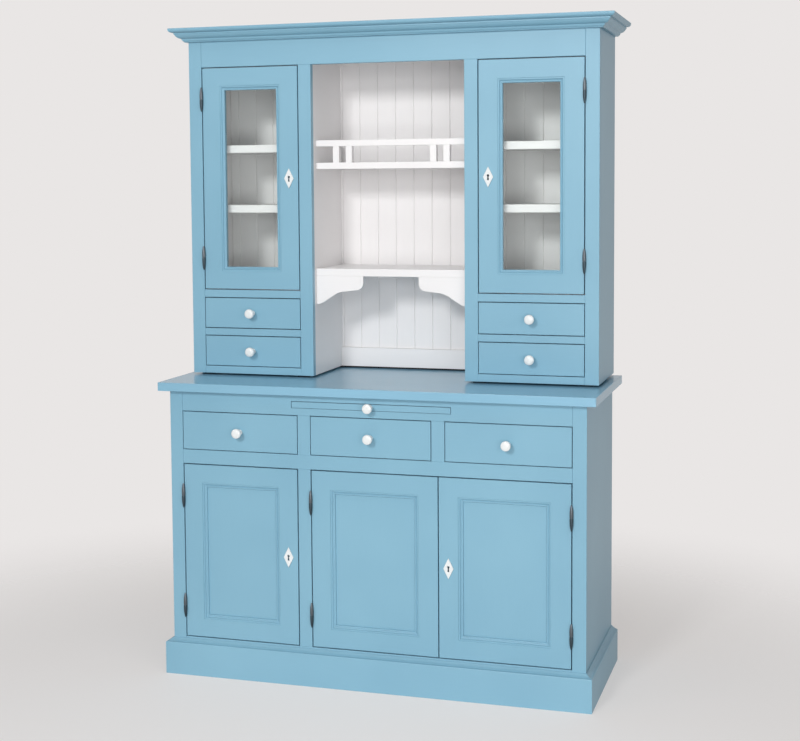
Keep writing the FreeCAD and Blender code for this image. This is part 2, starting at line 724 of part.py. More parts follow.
def make_niche():
    across = ("-niche_half", "niche_half")
    bar_y = ("niche_front_y", "niche_front_y + gallery_bar")
    shelf_low = "niche_shelf_top - niche_shelf_thickness"
    node("niche_shelf", [board("niche_shelf_board", across, ("niche_shelf_y", "hutch_inner_y"),
                               (shelf_low, "niche_shelf_top"), "x")])
    rail_top = "gallery_shelf_top + gallery_height"
    rail_low = f"{rail_top} - gallery_rail_height"
    gallery = [
        board("gallery_shelf_board", across, ("niche_front_y", "hutch_inner_y"),
              ("gallery_shelf_top - gallery_shelf_thickness", "gallery_shelf_top"), "x"),
        board("gallery_rail", across, bar_y, (rail_low, rail_top), "x"),
    ]
    for label in ("inner", "outer"):
        centre = f"gallery_{label}_bar_place"
        for name, side in (("left", -1), ("right", 1)):
            bar_x = on_side(side, (f"{centre} - gallery_bar / 2", f"{centre} + gallery_bar / 2"))
            gallery.append(board(f"gallery_{label}_bar_{name}", bar_x, bar_y,
                                 ("gallery_shelf_top", rail_low)))
    node("gallery", gallery)
    node("niche_skirting", [board("niche_skirting_board", across,
                                  ("hutch_inner_y - skirting_thickness", "hutch_inner_y"),
                                  ("hutch_low", "hutch_low + skirting_height"), "x")])

    brackets = []
    for name, side in (("left", -1), ("right", 1)):
        body = doc.addObject("PartDesign::Body", f"bracket_{name}")
        sketch = body_sketch(body, "XZ_Plane", f"bracket_outline_{name}")
        points = [(side * p[0], -p[1]) + tuple(-side * b for b in p[2:])
                  for p in BRACKET_SHARES]
        outline(sketch, points, "bracket_length", "bracket_height")
        pad = body.newObject("PartDesign::Pad", f"bracket_board_{name}")
        pad.Profile = sketch
        pad.Reversed = True
        bind(pad, "Length", "bracket_thickness")
        body.Tip = pad
        place(body, f"{side} * (niche_half - bracket_length)", "niche_shelf_y", shelf_low)
        brackets.append(body)
    node("niche_brackets", brackets)


# Drawers and the pull-out board.

def make_drawer(name, x, z, face_y, inner_y):
    """A drawer behind its opening x by z: an inset front with a box of five boards."""
    gap = "drawer_gap"
    left, right = f"{x[0]} + {gap}", f"{x[1]} - {gap}"
    low, high = f"{z[0]} + {gap}", f"{z[1]} - {gap}"
    side = "drawer_side_thickness"
    front_back = f"{face_y} + drawer_front_thickness"
    box_end = f"{inner_y} - drawer_back_gap"
    side_z = (low, f"{high} - drawer_side_drop")
    floor_low = f"{low} + drawer_bottom_rise"
    floor_top = f"{floor_low} + drawer_bottom_thickness"
    inside = (f"{left} + {side}", f"{right} - {side}")
    node(name, [
        board(name + "_front", (left, right), (face_y, front_back), (low, high), "x"),
        board(name + "_side_left", (left, inside[0]), (front_back, box_end), side_z),
        board(name + "_side_right", (inside[1], right), (front_back, box_end), side_z),
        board(name + "_back", inside, (f"{box_end} - {side}", box_end), (floor_top, side_z[1])),
        board(name + "_bottom", inside, (front_back, box_end), (floor_low, floor_top)),
    ])
    node(name + "_knob", [instance(name + "_knob_turned", knob, f"({x[0]} + {x[1]}) / 2",
                                   face_y, f"({z[0]} + {z[1]}) / 2")])


def make_drawers():
    base_z = ("base_drawer_low", "base_drawer_high")
    make_drawer("base_drawer_left", ("-base_post_x", "-stile_out_x"), base_z, "front_y",
                "base_inner_y")
    make_drawer("base_drawer_middle", ("-stile_in_x", "stile_in_x"), base_z, "front_y",
                "base_inner_y")
    make_drawer("base_drawer_right", ("stile_out_x", "base_post_x"), base_z, "front_y",
                "base_inner_y")
    for name, side in (("left", -1), ("right", 1)):
        for row in ("lower", "upper"):
            make_drawer(f"hutch_drawer_{row}_{name}",
                        on_side(side, ("tower_stile_x", "hutch_post_x")),
                        (f"{row}_drawer_low", f"{row}_drawer_high"), "hutch_front_y",
                        "hutch_inner_y")

    slide_z = ("slide_low", "slide_low + slide_thickness")
    half = "(slot_width / 2 - slide_side_play)"
    node("pull_out_board", [board("pull_out_leaf", (f"-{half}", half),
                                  ("front_y", "base_inner_y - slide_back_gap"), slide_z, "x")])
    node("pull_out_board_knob", [instance("pull_out_knob_turned", knob, "0", "front_y",
                                          "slide_low + slide_thickness / 2")])


# Doors.

def make_door_frame(name, x, z, face_y, glazed):
    """Stiles and rails with a mitred moulding round the opening, and beads behind glass."""
    left, right = x
    low, high = z
    thick = (face_y, f"{face_y} + frame_thickness")
    open_x = (f"{left} + door_stile_width", f"{right} - door_stile_width")
    open_z = (f"{low} + door_rail_width", f"{high} - door_rail_width")
    pieces = [
        board(name + "_stile_left", (left, open_x[0]), thick, z, "z"),
        board(name + "_stile_right", (open_x[1], right), thick, z, "z"),
        board(name + "_rail_low", open_x, thick, (low, open_z[0]), "x"),
        board(name + "_rail_high", open_x, thick, (open_z[1], high), "x"),
    ]
    centre_x = f"({open_x[0]} + {open_x[1]}) / 2"
    centre_z = f"({open_z[0]} + {open_z[1]}) / 2"
    half_wide = f"(({open_x[1]}) - ({open_x[0]})) / 2"
    half_high = f"(({open_z[1]}) - ({open_z[0]})) / 2"
    recess = "glass_recess" if glazed else "panel_recess"
    plane_y = f"{face_y} + {recess}"
    sides = (("low", 0, half_wide, (centre_x, plane_y, open_z[0])),
             ("left", 90, half_high, (open_x[0], plane_y, centre_z)),
             ("high", 180, half_wide, (centre_x, plane_y, open_z[1])),
             ("right", -90, half_high, (open_x[1], plane_y, centre_z)))
    for label, angle, half, spot in sides:
        turn = FreeCAD.Rotation(Y_AXIS, angle).multiply(UPRIGHT)
        pieces.append(strip(f"{name}_moulding_{label}", moulding_sections[recess],
                            "moulding_width", f"({recess} - moulding_quirk)",
                            (f"-({half})", half),
                            (f"-({half}) + moulding_width", f"{half} - moulding_width"),
                            spot, turn))
    if glazed:
        bead = "glass_bead_width"
        bead_y = (f"{plane_y} + glass_thickness",
                  f"{plane_y} + glass_thickness + glass_bead_thickness")
        between = (f"{open_z[0]} + {bead}", f"{open_z[1]} - {bead}")
        pieces += [
            board(name + "_bead_low", open_x, bead_y, (open_z[0], between[0])),
            board(name + "_bead_high", open_x, bead_y, (between[1], open_z[1])),
            board(name + "_bead_left", (open_x[0], f"{open_x[0]} + {bead}"), bead_y, between),
            board(name + "_bead_right", (f"{open_x[1]} - {bead}", open_x[1]), bead_y, between),
        ]
    fill = "glass_thickness" if glazed else "panel_thickness"
    filling = board(name + "_filling", open_x, (plane_y, f"{plane_y} + {fill}"), open_z)
    return pieces, filling


def bolt_case(name, x, z, bolt_x, bolt_z, throat_x, throat_z, face_y):
    """A lock's case behind the stile, with a throat that the bolt runs in."""
    back = f"{face_y} + frame_thickness"
    bolt_y = (f"{back} + bolt_depth_in_case",
              f"{back} + bolt_depth_in_case + bolt_thickness")
    shell = board(name + "_shell", x, (back, f"{back} + lock_thickness"), z)
    throat = board(name + "_throat", throat_x,
                   (f"{bolt_y[0]} - slide_play", f"{bolt_y[1]} + slide_play"), throat_z)
    return cut(name + "_case", shell, throat), board(name + "_bolt_bar", bolt_x, bolt_y, bolt_z)


def door_lock(name, edge_x, side, centre_z, face_y):
    """A rim lock whose bolt shoots sideways, past the door's closing edge."""
    mouth = f"{edge_x} - {side} * lock_edge_set_back"
    stretch = lambda near, far: (near, far) if side < 0 else (far, near)
    x = stretch(mouth, f"{mouth} - {side} * lock_width")
    bolt_x = stretch(mouth, f"{mouth} - {side} * bolt_length")
    throat_x = stretch(f"{mouth} + {side} * lock_edge_set_back",
                       f"{mouth} - {side} * (bolt_length + slide_play)")
    z = (f"{centre_z} - lock_height / 2", f"{centre_z} + lock_height / 2")
    bolt_z = (f"{centre_z} - bolt_height / 2", f"{centre_z} + bolt_height / 2")
    throat_z = (f"{bolt_z[0]} - slide_play", f"{bolt_z[1]} + slide_play")
    return bolt_case(name, x, z, bolt_x, bolt_z, throat_x, throat_z, face_y)


def slide_bolt(name, centre_x, top_z, face_y):
    """A bolt on the door that closes first; it shoots up behind the rail."""
    mouth = f"{top_z} - lock_edge_set_back"
    x = (f"{centre_x} - slide_bolt_case_width / 2", f"{centre_x} + slide_bolt_case_width / 2")
    bolt_x = (f"{centre_x} - bolt_height / 2", f"{centre_x} + bolt_height / 2")
    throat_x = (f"{bolt_x[0]} - slide_play", f"{bolt_x[1]} + slide_play")
    z = (f"{mouth} - slide_bolt_case_height", mouth)
    bolt_z = (f"{mouth} - slide_bolt_length", mouth)
    throat_z = (f"{bolt_z[0]} - slide_play", f"{mouth} + lock_edge_set_back")
    return bolt_case(name, x, z, bolt_x, bolt_z, throat_x, throat_z, face_y)


def make_door(name, x, opening_z, face_y, hinge_side, glazed=False, passive=False):
    """A door between its two edges x, hung on its left (-1) or its right (+1) side."""
    z = (f"{opening_z[0]} + door_gap", f"{opening_z[1]} - door_gap")
    pieces, filling = make_door_frame(name, x, z, face_y, glazed)
    hinge_edge = x[0] if hinge_side < 0 else x[1]
    closing_edge = x[1] if hinge_side < 0 else x[0]
    axis_x = f"{hinge_edge} + {hinge_side} * door_gap / 2"
    axis_y = f"{face_y} - hinge_stand"
    ironwork, lower_halves = [], []
    for label, spot in (("low", f"{opening_z[0]} + hinge_inset"),
                        ("high", f"{opening_z[1]} - hinge_inset")):
        ironwork.append(instance(f"{name}_hinge_{label}", hinge_halves[True, -hinge_side],
                                 axis_x, axis_y, spot))
        lower_halves.append(instance(f"{name}_hinge_pin_{label}",
                                     hinge_halves[False, -hinge_side], axis_x, axis_y, spot))
    closing = -hinge_side
    stile_centre = f"({closing_edge} - {closing} * door_stile_width / 2)"
    centre_z = f"({opening_z[0]} + {opening_z[1]}) / 2"
    if passive:
        case, bolt = slide_bolt(name, stile_centre, z[1], face_y)
    else:
        case, bolt = door_lock(name, closing_edge, closing, centre_z, face_y)
        half_high = f"{KEYHOLE_SHARES[1][1]} * keyhole_drop"
        key_slot = board(name + "_key_slot",
                         (f"{stile_centre} - keyhole_radius", f"{stile_centre} + keyhole_radius"),
                         (f"{face_y} - arris", f"{face_y} + frame_thickness + arris"),
                         (f"{centre_z} + {half_high}", f"{centre_z} - {half_high}"))
        closing_stile = 1 if closing > 0 else 0
        pieces[closing_stile] = cut(name + "_cut_stile", pieces[closing_stile], key_slot)
        node(name + "_escutcheon", [instance(name + "_keyhole_plate", escutcheon,
                                             stile_centre, face_y, centre_z)])
    node(name + "_frame", pieces)
    node(name + ("_glass" if glazed else "_panel"), [filling])
    node(name + "_ironwork", ironwork + [case])
    node(name + "_bolt", [bolt])
    return lower_halves


def make_doors():
    base_z = ("base_rail_top", "base_door_top")
    glass_z = ("glass_door_low", "glass_door_high")
    hinges = make_door("base_door_left", ("-base_post_x + door_gap", "-stile_out_x - door_gap"),
                       base_z, "front_y", -1)
    hinges += make_door("base_door_middle",
                        ("-stile_in_x + door_gap", "meeting_x - door_gap / 2"), base_z,
                        "front_y", -1, passive=True)
    hinges += make_door("base_door_right",
                        ("meeting_x + door_gap / 2", "base_post_x - door_gap"), base_z,
                        "front_y", 1)
    hinges += make_door("glass_door_left",
                        ("-hutch_post_x + door_gap", "-tower_stile_x - door_gap"), glass_z,
                        "hutch_front_y", -1, glazed=True)
    hinges += make_door("glass_door_right",
                        ("tower_stile_x + door_gap", "hutch_post_x - door_gap"), glass_z,
                        "hutch_front_y", 1, glazed=True)
    node("frame_hinge_pins", hinges)


def check_and_export():
    """Every object must be sound before anything is written."""
    doc.recompute()
    for item in doc.Objects:
        if {"Invalid", "Error"} & set(item.State):
            raise RuntimeError(f"{item.Name} failed: {item.State}")
    for item in nodes:
        shape = item.Shape
        if shape.isNull() or not shape.isValid() or not shape.Solids:
            raise RuntimeError(f"{item.Label} has no sound solid")
    os.makedirs("parts", exist_ok=True)
    for item in nodes:
        item.Shape.exportStep(f"parts/{item.Label}.step")
        print(f"{item.Label}: {len(item.Shape.Solids)} solids, "
              f"{item.Shape.Volume / 1000:.1f} cm3")
    print(f"{len(nodes)} nodes, {sum(len(n.Shape.Solids) for n in nodes)} solids")


node("drawer_runners", make_base() + make_hutch())
make_niche()
make_drawers()
make_doors()
check_and_export()
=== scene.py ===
import json
import math
import random

import bmesh
import bpy
from mathutils import Matrix, Vector


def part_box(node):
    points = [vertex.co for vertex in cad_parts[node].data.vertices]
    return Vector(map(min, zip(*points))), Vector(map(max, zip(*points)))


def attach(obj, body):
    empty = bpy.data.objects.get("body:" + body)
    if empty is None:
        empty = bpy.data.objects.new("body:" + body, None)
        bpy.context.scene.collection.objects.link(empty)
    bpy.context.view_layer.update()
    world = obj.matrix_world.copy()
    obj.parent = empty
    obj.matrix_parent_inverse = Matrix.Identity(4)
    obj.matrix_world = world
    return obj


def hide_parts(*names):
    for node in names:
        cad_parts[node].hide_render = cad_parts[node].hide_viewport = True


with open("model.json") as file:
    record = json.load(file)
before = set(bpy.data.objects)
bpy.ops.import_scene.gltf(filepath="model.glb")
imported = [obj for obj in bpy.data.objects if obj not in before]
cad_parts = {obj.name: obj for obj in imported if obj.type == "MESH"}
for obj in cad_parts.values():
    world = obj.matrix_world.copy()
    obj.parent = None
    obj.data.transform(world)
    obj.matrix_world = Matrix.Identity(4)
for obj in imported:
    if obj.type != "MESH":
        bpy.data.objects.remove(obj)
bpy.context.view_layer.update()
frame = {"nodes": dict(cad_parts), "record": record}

scene = bpy.context.scene
bodyOfNode = {node: body for body, names in frame["record"]["behaviour"]["bodies"].items()
              for node in names}
slotOfNode = {part["node"]: part["material_slot"] for part in frame["record"]["subparts"]}
print("frame loaded,", len(frame["nodes"]), "nodes")


def toLinear(hexText):
    channels = [int(hexText[i:i + 2], 16) / 255 for i in (1, 3, 5)]
    linear = [c / 12.92 if c <= 0.04045 else ((c + 0.055) / 1.055) ** 2.4 for c in channels]
    return (*linear, 1)


def addNode(tree, kind, settings=None, inputs=None):
    node = tree.nodes.new(kind)
    for name, value in (settings or {}).items():
        setattr(node, name, value)
    for name, value in (inputs or {}).items():
        if isinstance(value, bpy.types.NodeSocket):
            tree.links.new(value, node.inputs[name])
        else:
            node.inputs[name].default_value = value
    return node


# Every dressed piece carries the attribute "grain": metres along, across and through its own board.

# Annual rings: how often they bend in a metre along and across the grain, how far they bend, and
# the wave texture's own scale that makes one wave of one ring.
ringSizes = {"bends": (1.6, 9, 9), "bendReach": (0, 0.03, 0.03), "bendDetail": 3, "waveScale": 0.31,
             "wander": 0.6, "wanderDetail": 2, "wanderScale": 1.5}
paintSizes = {"ior": 1.5, "streakShare": 0.35, "paleTone": 0.45, "darkTone": 0.9,
              "cloudDetail": 2, "smoother": 0.04, "rougher": 0.05}
bluePaintSizes = {"colour": "#82AEC2", "shade": "#7BA7BC", "roughness": 0.36, "cloud": 0.35,
                  "brushWidth": 0.0011, "brushLength": 0.07, "brushDepth": 0.00003,
                  "ringWidth": 0.0042, "ringDepth": 0.00002, "gloss": 0.34}
# the worktop is rubbed down: smoother and glossier; its colour is a touch lighter than the other
# blue, painted light for the light that falls on its top
worktopPaintSizes = dict(bluePaintSizes, colour="#85B3CB", shade="#7EACC3",
                         roughness=0.22, gloss=0.5)
whitePaintSizes = {"colour": "#E9E7E7", "shade": "#E3E1E1", "roughness": 0.38, "cloud": 0.35,
                   "brushWidth": 0.0011, "brushLength": 0.07, "brushDepth": 0.00003,
                   "ringWidth": 0.0042, "ringDepth": 0.00002, "gloss": 0.4}
spruceSizes = {"early": "#E0C79B", "late": "#C79D66", "knot": "#8A5A30", "ringWidth": 0.0042,
               "roughness": 0.5, "fibreWidth": 0.0006, "fibreLength": 0.02, "fibreDepth": 0.00002,
               "fibreShare": 0.25, "lateSharpness": 2.2, "knotsPerMetre": (4, 9, 9),
               "knotEdge": 0.1, "knotHeart": 0.05}


def newMaterial(name):
    material = bpy.data.materials.new(name)
    material.use_nodes = True
    tree = material.node_tree
    return material, tree, tree.nodes["Principled BSDF"]


def grainRings(tree, ringWidth):
    # annual rings about a pith that lies outside the board, bent a little along the grain
    grain = addNode(tree, "ShaderNodeAttribute", {"attribute_name": "grain"})
    stretched = addNode(tree, "ShaderNodeMapping", inputs={
        "Vector": grain.outputs["Vector"], "Scale": ringSizes["bends"]})
    bend = addNode(tree, "ShaderNodeTexNoise", inputs={
        "Vector": stretched.outputs["Vector"], "Scale": 1, "Detail": ringSizes["bendDetail"]})
    shifted = addNode(tree, "ShaderNodeVectorMath", {"operation": "MULTIPLY_ADD"}, {
        0: bend.outputs["Color"], 1: ringSizes["bendReach"], 2: grain.outputs["Vector"]})
    spaced = addNode(tree, "ShaderNodeMapping", inputs={
        "Vector": shifted.outputs["Vector"], "Scale": (1, 1 / ringWidth, 1 / ringWidth)})
    rings = addNode(tree, "ShaderNodeTexWave", {
        "wave_type": "RINGS", "rings_direction": "X", "wave_profile": "SAW"}, {
        "Vector": spaced.outputs["Vector"], "Scale": ringSizes["waveScale"],
        "Distortion": ringSizes["wander"], "Detail": ringSizes["wanderDetail"],
        "Detail Scale": ringSizes["wanderScale"]})
    return grain, rings


streakSizes = {"detail": 4, "roughness": 0.6}


def fineStreaks(tree, grain, width, length):
    stretched = addNode(tree, "ShaderNodeMapping", inputs={
        "Vector": grain.outputs["Vector"], "Scale": (1 / length, 1 / width, 1 / width)})
    return addNode(tree, "ShaderNodeTexNoise", inputs={
        "Vector": stretched.outputs["Vector"], "Scale": 1,
        "Detail": streakSizes["detail"], "Roughness": streakSizes["roughness"]})


def paintedSpruce(name, sizes):
    # satin alkyd paint laid on with a brush: fine streaks along each board, rings just telegraphing
    material, tree, surface = newMaterial(name)
    grain, rings = grainRings(tree, sizes["ringWidth"])
    streaks = fineStreaks(tree, grain, sizes["brushWidth"], sizes["brushLength"])
    spot = addNode(tree, "ShaderNodeTexCoord")
    cloud = addNode(tree, "ShaderNodeTexNoise", inputs={
        "Vector": spot.outputs["Object"], "Scale": 1 / sizes["cloud"],
        "Detail": paintSizes["cloudDetail"]})
    tone = addNode(tree, "ShaderNodeMath", {"operation": "MULTIPLY_ADD"}, {
        0: streaks.outputs["Fac"], 1: paintSizes["streakShare"], 2: cloud.outputs["Fac"]})
    ramp = addNode(tree, "ShaderNodeMapRange", inputs={
        "Value": tone.outputs["Value"], "From Min": paintSizes["paleTone"],
        "From Max": paintSizes["darkTone"]})
    colour = addNode(tree, "ShaderNodeMix", {"data_type": "RGBA"}, {
        "Factor": ramp.outputs["Result"],
        6: toLinear(sizes["colour"]), 7: toLinear(sizes["shade"])})
    tree.links.new(colour.outputs[2], surface.inputs["Base Color"])
    rough = addNode(tree, "ShaderNodeMapRange", inputs={
        "Value": streaks.outputs["Fac"], "To Min": sizes["roughness"] - paintSizes["smoother"],
        "To Max": sizes["roughness"] + paintSizes["rougher"]})
    tree.links.new(rough.outputs["Result"], surface.inputs["Roughness"])
    brushed = addNode(tree, "ShaderNodeBump", inputs={
        "Height": streaks.outputs["Fac"], "Distance": sizes["brushDepth"], "Strength": 1})
    ringed = addNode(tree, "ShaderNodeBump", inputs={
        "Height": rings.outputs["Fac"], "Distance": sizes["ringDepth"], "Strength": 1,
        "Normal": brushed.outputs["Normal"]})
    tree.links.new(ringed.outputs["Normal"], surface.inputs["Normal"])
    surface.inputs["IOR"].default_value = paintSizes["ior"]
    surface.inputs["Specular IOR Level"].default_value = sizes["gloss"]
    return material


def waxedSpruce(name, sizes):
    # planed spruce under thin wax: pale early wood, amber late wood, a silky low sheen
    material, tree, surface = newMaterial(name)
    grain, rings = grainRings(tree, sizes["ringWidth"])
    fibres = fineStreaks(tree, grain, sizes["fibreWidth"], sizes["fibreLength"])
    late = addNode(tree, "ShaderNodeMath", {"operation": "POWER"}, {
        0: rings.outputs["Fac"], 1: sizes["lateSharpness"]})
    banded = addNode(tree, "ShaderNodeMix", {"data_type": "RGBA"}, {
        "Factor": late.outputs["Value"], 6: toLinear(sizes["early"]), 7: toLinear(sizes["late"])})
    fibred = addNode(tree, "ShaderNodeMix", {"data_type": "RGBA", "blend_type": "MULTIPLY"}, {
        "Factor": sizes["fibreShare"], 6: banded.outputs[2], 7: fibres.outputs["Color"]})
    # small knots, a handspan or two apart along the board
    cells = addNode(tree, "ShaderNodeTexVoronoi", {"feature": "F1"}, {
        "Vector": addNode(tree, "ShaderNodeMapping", inputs={
            "Vector": grain.outputs["Vector"], "Scale": sizes["knotsPerMetre"]}).outputs["Vector"],
        "Scale": 1})
    knots = addNode(tree, "ShaderNodeMapRange", inputs={
        "Value": cells.outputs["Distance"], "From Min": sizes["knotEdge"],
        "From Max": sizes["knotHeart"]})
    knotted = addNode(tree, "ShaderNodeMix", {"data_type": "RGBA"}, {
        "Factor": knots.outputs["Result"], 6: fibred.outputs[2], 7: toLinear(sizes["knot"])})
    tree.links.new(knotted.outputs[2], surface.inputs["Base Color"])
    bump = addNode(tree, "ShaderNodeBump", inputs={
        "Height": fibres.outputs["Fac"], "Distance": sizes["fibreDepth"], "Strength": 1})
    tree.links.new(bump.outputs["Normal"], surface.inputs["Normal"])
    surface.inputs["Roughness"].default_value = sizes["roughness"]
    return material


mottleSizes = {"detail": 4, "roughness": 0.6, "evenFrom": 0.3, "evenTo": 0.7,
               "smoother": 0.8, "rougher": 1.2}


def plainSurface(name, sizes):
    # for the fittings: an even body with a fine mottled bump and slightly uneven gloss
    material, tree, surface = newMaterial(name)
    spot = addNode(tree, "ShaderNodeTexCoord")
    mottle = addNode(tree, "ShaderNodeTexNoise", inputs={
        "Vector": spot.outputs["Object"], "Scale": 1 / sizes["mottle"],
        "Detail": mottleSizes["detail"], "Roughness": mottleSizes["roughness"]})
    colour = addNode(tree, "ShaderNodeMix", {"data_type": "RGBA"}, {
        "Factor": mottle.outputs["Fac"], 6: toLinear(sizes["colour"]), 7: toLinear(sizes["shade"])})
    rough = addNode(tree, "ShaderNodeMapRange", inputs={
        "Value": mottle.outputs["Fac"],
        "From Min": mottleSizes["evenFrom"], "From Max": mottleSizes["evenTo"],
        "To Min": sizes["roughness"] * mottleSizes["smoother"],
        "To Max": sizes["roughness"] * mottleSizes["rougher"]})
    bump = addNode(tree, "ShaderNodeBump", inputs={
        "Height": mottle.outputs["Fac"], "Distance": sizes["depth"], "Strength": 1})
    tree.links.new(colour.outputs[2], surface.inputs["Base Color"])
    tree.links.new(rough.outputs["Result"], surface.inputs["Roughness"])
    tree.links.new(bump.outputs["Normal"], surface.inputs["Normal"])
    surface.inputs["Metallic"].default_value = sizes["metallic"]
    return material


fittingFinishes = {
    # the doors' hinge halves: the same iron as the frame's halves in a lighter copy, painted light,
    # grey with a soft sheen
    "hingeIronPaintedLight": {"colour": "#6B7176", "shade": "#474D52", "roughness": 0.42, "mottle": 0.002,
                   "depth": 0.00005, "metallic": 0.85},
    # the frame's hinge halves: the same iron in a darker copy, painted shade
    "hingeIronPaintedShade": {"colour": "#46545C", "shade": "#2C363C", "roughness": 0.48, "mottle": 0.002,
                      "depth": 0.00006, "metallic": 0.8},
    # white glazed porcelain: clear gloss over a very even body
    "whitePorcelain": {"colour": "#E2E5E5", "shade": "#DCDFDF", "roughness": 0.14, "mottle": 0.012,
                       "depth": 0.00001, "metallic": 0},
    # zinc-plated steel gone dull: lock cases, bolts, screws and nails
    "dullZinc": {"colour": "#9C9E9C", "shade": "#7C7F7E", "roughness": 0.4, "mottle": 0.004,
                 "depth": 0.00002, "metallic": 1},
    # pressed felt, dark, with a fibrous mottle: real on the hutch's pads, and painted shade on the
    # strip under its back, which darkens the gap there
    "darkFeltAndPaintedShade": {"colour": "#23262A", "shade": "#15171A", "roughness": 0.8, "mottle": 0.0012,
                 "depth": 0.0004, "metallic": 0},
}
glassSizes = {"tint": "#F4FAF8", "roughness": 0.0, "ior": 1.5}


def clearGlass(name, sizes):
    # float glass: clear, with a faint mirror image; the shelves' light passes straight through it
    material, tree, surface = newMaterial(name)
    path = addNode(tree, "ShaderNodeLightPath")
    through = addNode(tree, "ShaderNodeMath", {"operation": "MAXIMUM"}, {
        0: path.outputs["Is Shadow Ray"], 1: path.outputs["Is Diffuse Ray"]})
    solid = addNode(tree, "ShaderNodeMath", {"operation": "SUBTRACT"}, {
        0: 1, 1: through.outputs["Value"]})
    tree.links.new(solid.outputs["Value"], surface.inputs["Alpha"])
    surface.inputs["Base Color"].default_value = toLinear(sizes["tint"])
    surface.inputs["Roughness"].default_value = sizes["roughness"]
    surface.inputs["IOR"].default_value = sizes["ior"]
    surface.inputs["Transmission Weight"].default_value = 1
    return material


finishes = {"bluePaint": paintedSpruce("blueSatinPaintOnSpruce", bluePaintSizes),
            "worktopPaint": paintedSpruce("blueSatinPaintRubbedDownPaintedLight", worktopPaintSizes),
            "whitePaint": paintedSpruce("whiteSatinPaintOnSpruce", whitePaintSizes),
            "spruce": waxedSpruce("waxedSpruce", spruceSizes),
            "glass": clearGlass("clearFloatGlass", glassSizes)}
for finishName, finishSizes in fittingFinishes.items():
    finishes[finishName] = plainSurface(finishName, finishSizes)
print("finishes made,", len(finishes))


# Pieces are dressed board by board from the frame's own solids: welded, and their edges eased.

timberSizes = {"edgeRound": 0.0006, "edgeSteps": 2, "sharpAngle": 35, "flatAngle": 0.3,
               "weld": 0.00002, "samePlace": 0.000001}
# where in the tree each board was sawn: along it, across its middle and away from the pith
sawnSizes = {"along": (0, 40), "across": (-0.05, 0.05), "pith": (0.03, 0.12)}


def closedShells(mesh):
    # the frame's triangles come board by board; a board ends where all its edges have met
    keys = [tuple(round(c / timberSizes["samePlace"]) for c in v.co) for v in mesh.vertices]
    waiting, shell, shells = {}, [], []
    for face in mesh.polygons:
        shell.append(tuple(face.vertices))
        corners = [keys[i] for i in face.vertices]
        for a, b in zip(corners, corners[1:] + corners[:1]):
            if waiting.get((b, a)):
                waiting[(b, a)] -= 1
                if not waiting[(b, a)]:
                    del waiting[(b, a)]
            else:
                waiting[(a, b)] = waiting.get((a, b), 0) + 1
        if not waiting:
            shells.append(shell)
            shell = []
    return shells + ([shell] if shell else [])


def boardMesh(mesh, faces, easeOf, settle):
    # one welded board with its flat faces whole; easeOf says how much of the rounding an edge gets
    board = bmesh.new()
    made = {}
    for face in faces:
        for index in face:
            if index not in made:
                made[index] = board.verts.new(mesh.vertices[index].co)
        board.faces.new([made[index] for index in face])
    bmesh.ops.remove_doubles(board, verts=board.verts, dist=timberSizes["weld"])
    if settle:
        settle(board)
    bmesh.ops.dissolve_limit(board, angle_limit=math.radians(timberSizes["flatAngle"]),
                             verts=board.verts, edges=board.edges)
    weights = board.edges.layers.float.new("bevel_weight_edge")
    sharp = math.radians(timberSizes["sharpAngle"])
    for edge in board.edges:
        if len(edge.link_faces) == 2 and edge.calc_face_angle() > sharp:
            edge[weights] = easeOf((edge.verts[0].co + edge.verts[1].co) / 2, edge.calc_length())
            edge.smooth = edge[weights] > 0
    return board


def roundedBoard(board, width):
    holder = bpy.data.meshes.new("board")
    board.to_mesh(holder)
    board.free()
    for face in holder.polygons:
        face.use_smooth = True
    piece = bpy.data.objects.new("board", holder)
    scene.collection.objects.link(piece)
    bevel = piece.modifiers.new("edges", "BEVEL")
    bevel.width = width
    bevel.segments = timberSizes["edgeSteps"]
    bevel.limit_method = "WEIGHT"
    bevel.harden_normals = True
    return piece


def plainMesh(piece, name):
    # what the modifiers make of a piece, as a mesh of its own
    graph = bpy.context.evaluated_depsgraph_get()
    mesh = bpy.data.meshes.new_from_object(piece.evaluated_get(graph), depsgraph=graph)
    mesh.name = name
    old = piece.data
    bpy.data.objects.remove(piece)
    bpy.data.meshes.remove(old)
    return mesh


def grainOf(mesh, dice):
    # metres along the board's length, across it and through it, started at a place of its own
    spots = [v.co for v in mesh.vertices]
    reach = [max(s[k] for s in spots) - min(s[k] for s in spots) for k in range(3)]
    order = sorted(range(3), key=lambda k: -reach[k])
    middle = [(max(s[k] for s in spots) + min(s[k] for s in spots)) / 2 for k in range(3)]
    start = [dice.uniform(*sawnSizes[name]) for name in ("along", "across", "pith")]
    return [[s[k] - middle[k] + start[n] for n, k in enumerate(order)] for s in spots]


def addPiece(mesh, name, body, slotName, *replaced):
    piece = bpy.data.objects.new(name, mesh)
    scene.collection.objects.link(piece)
    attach(piece, body)
    if replaced:
        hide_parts(*replaced)
    return piece


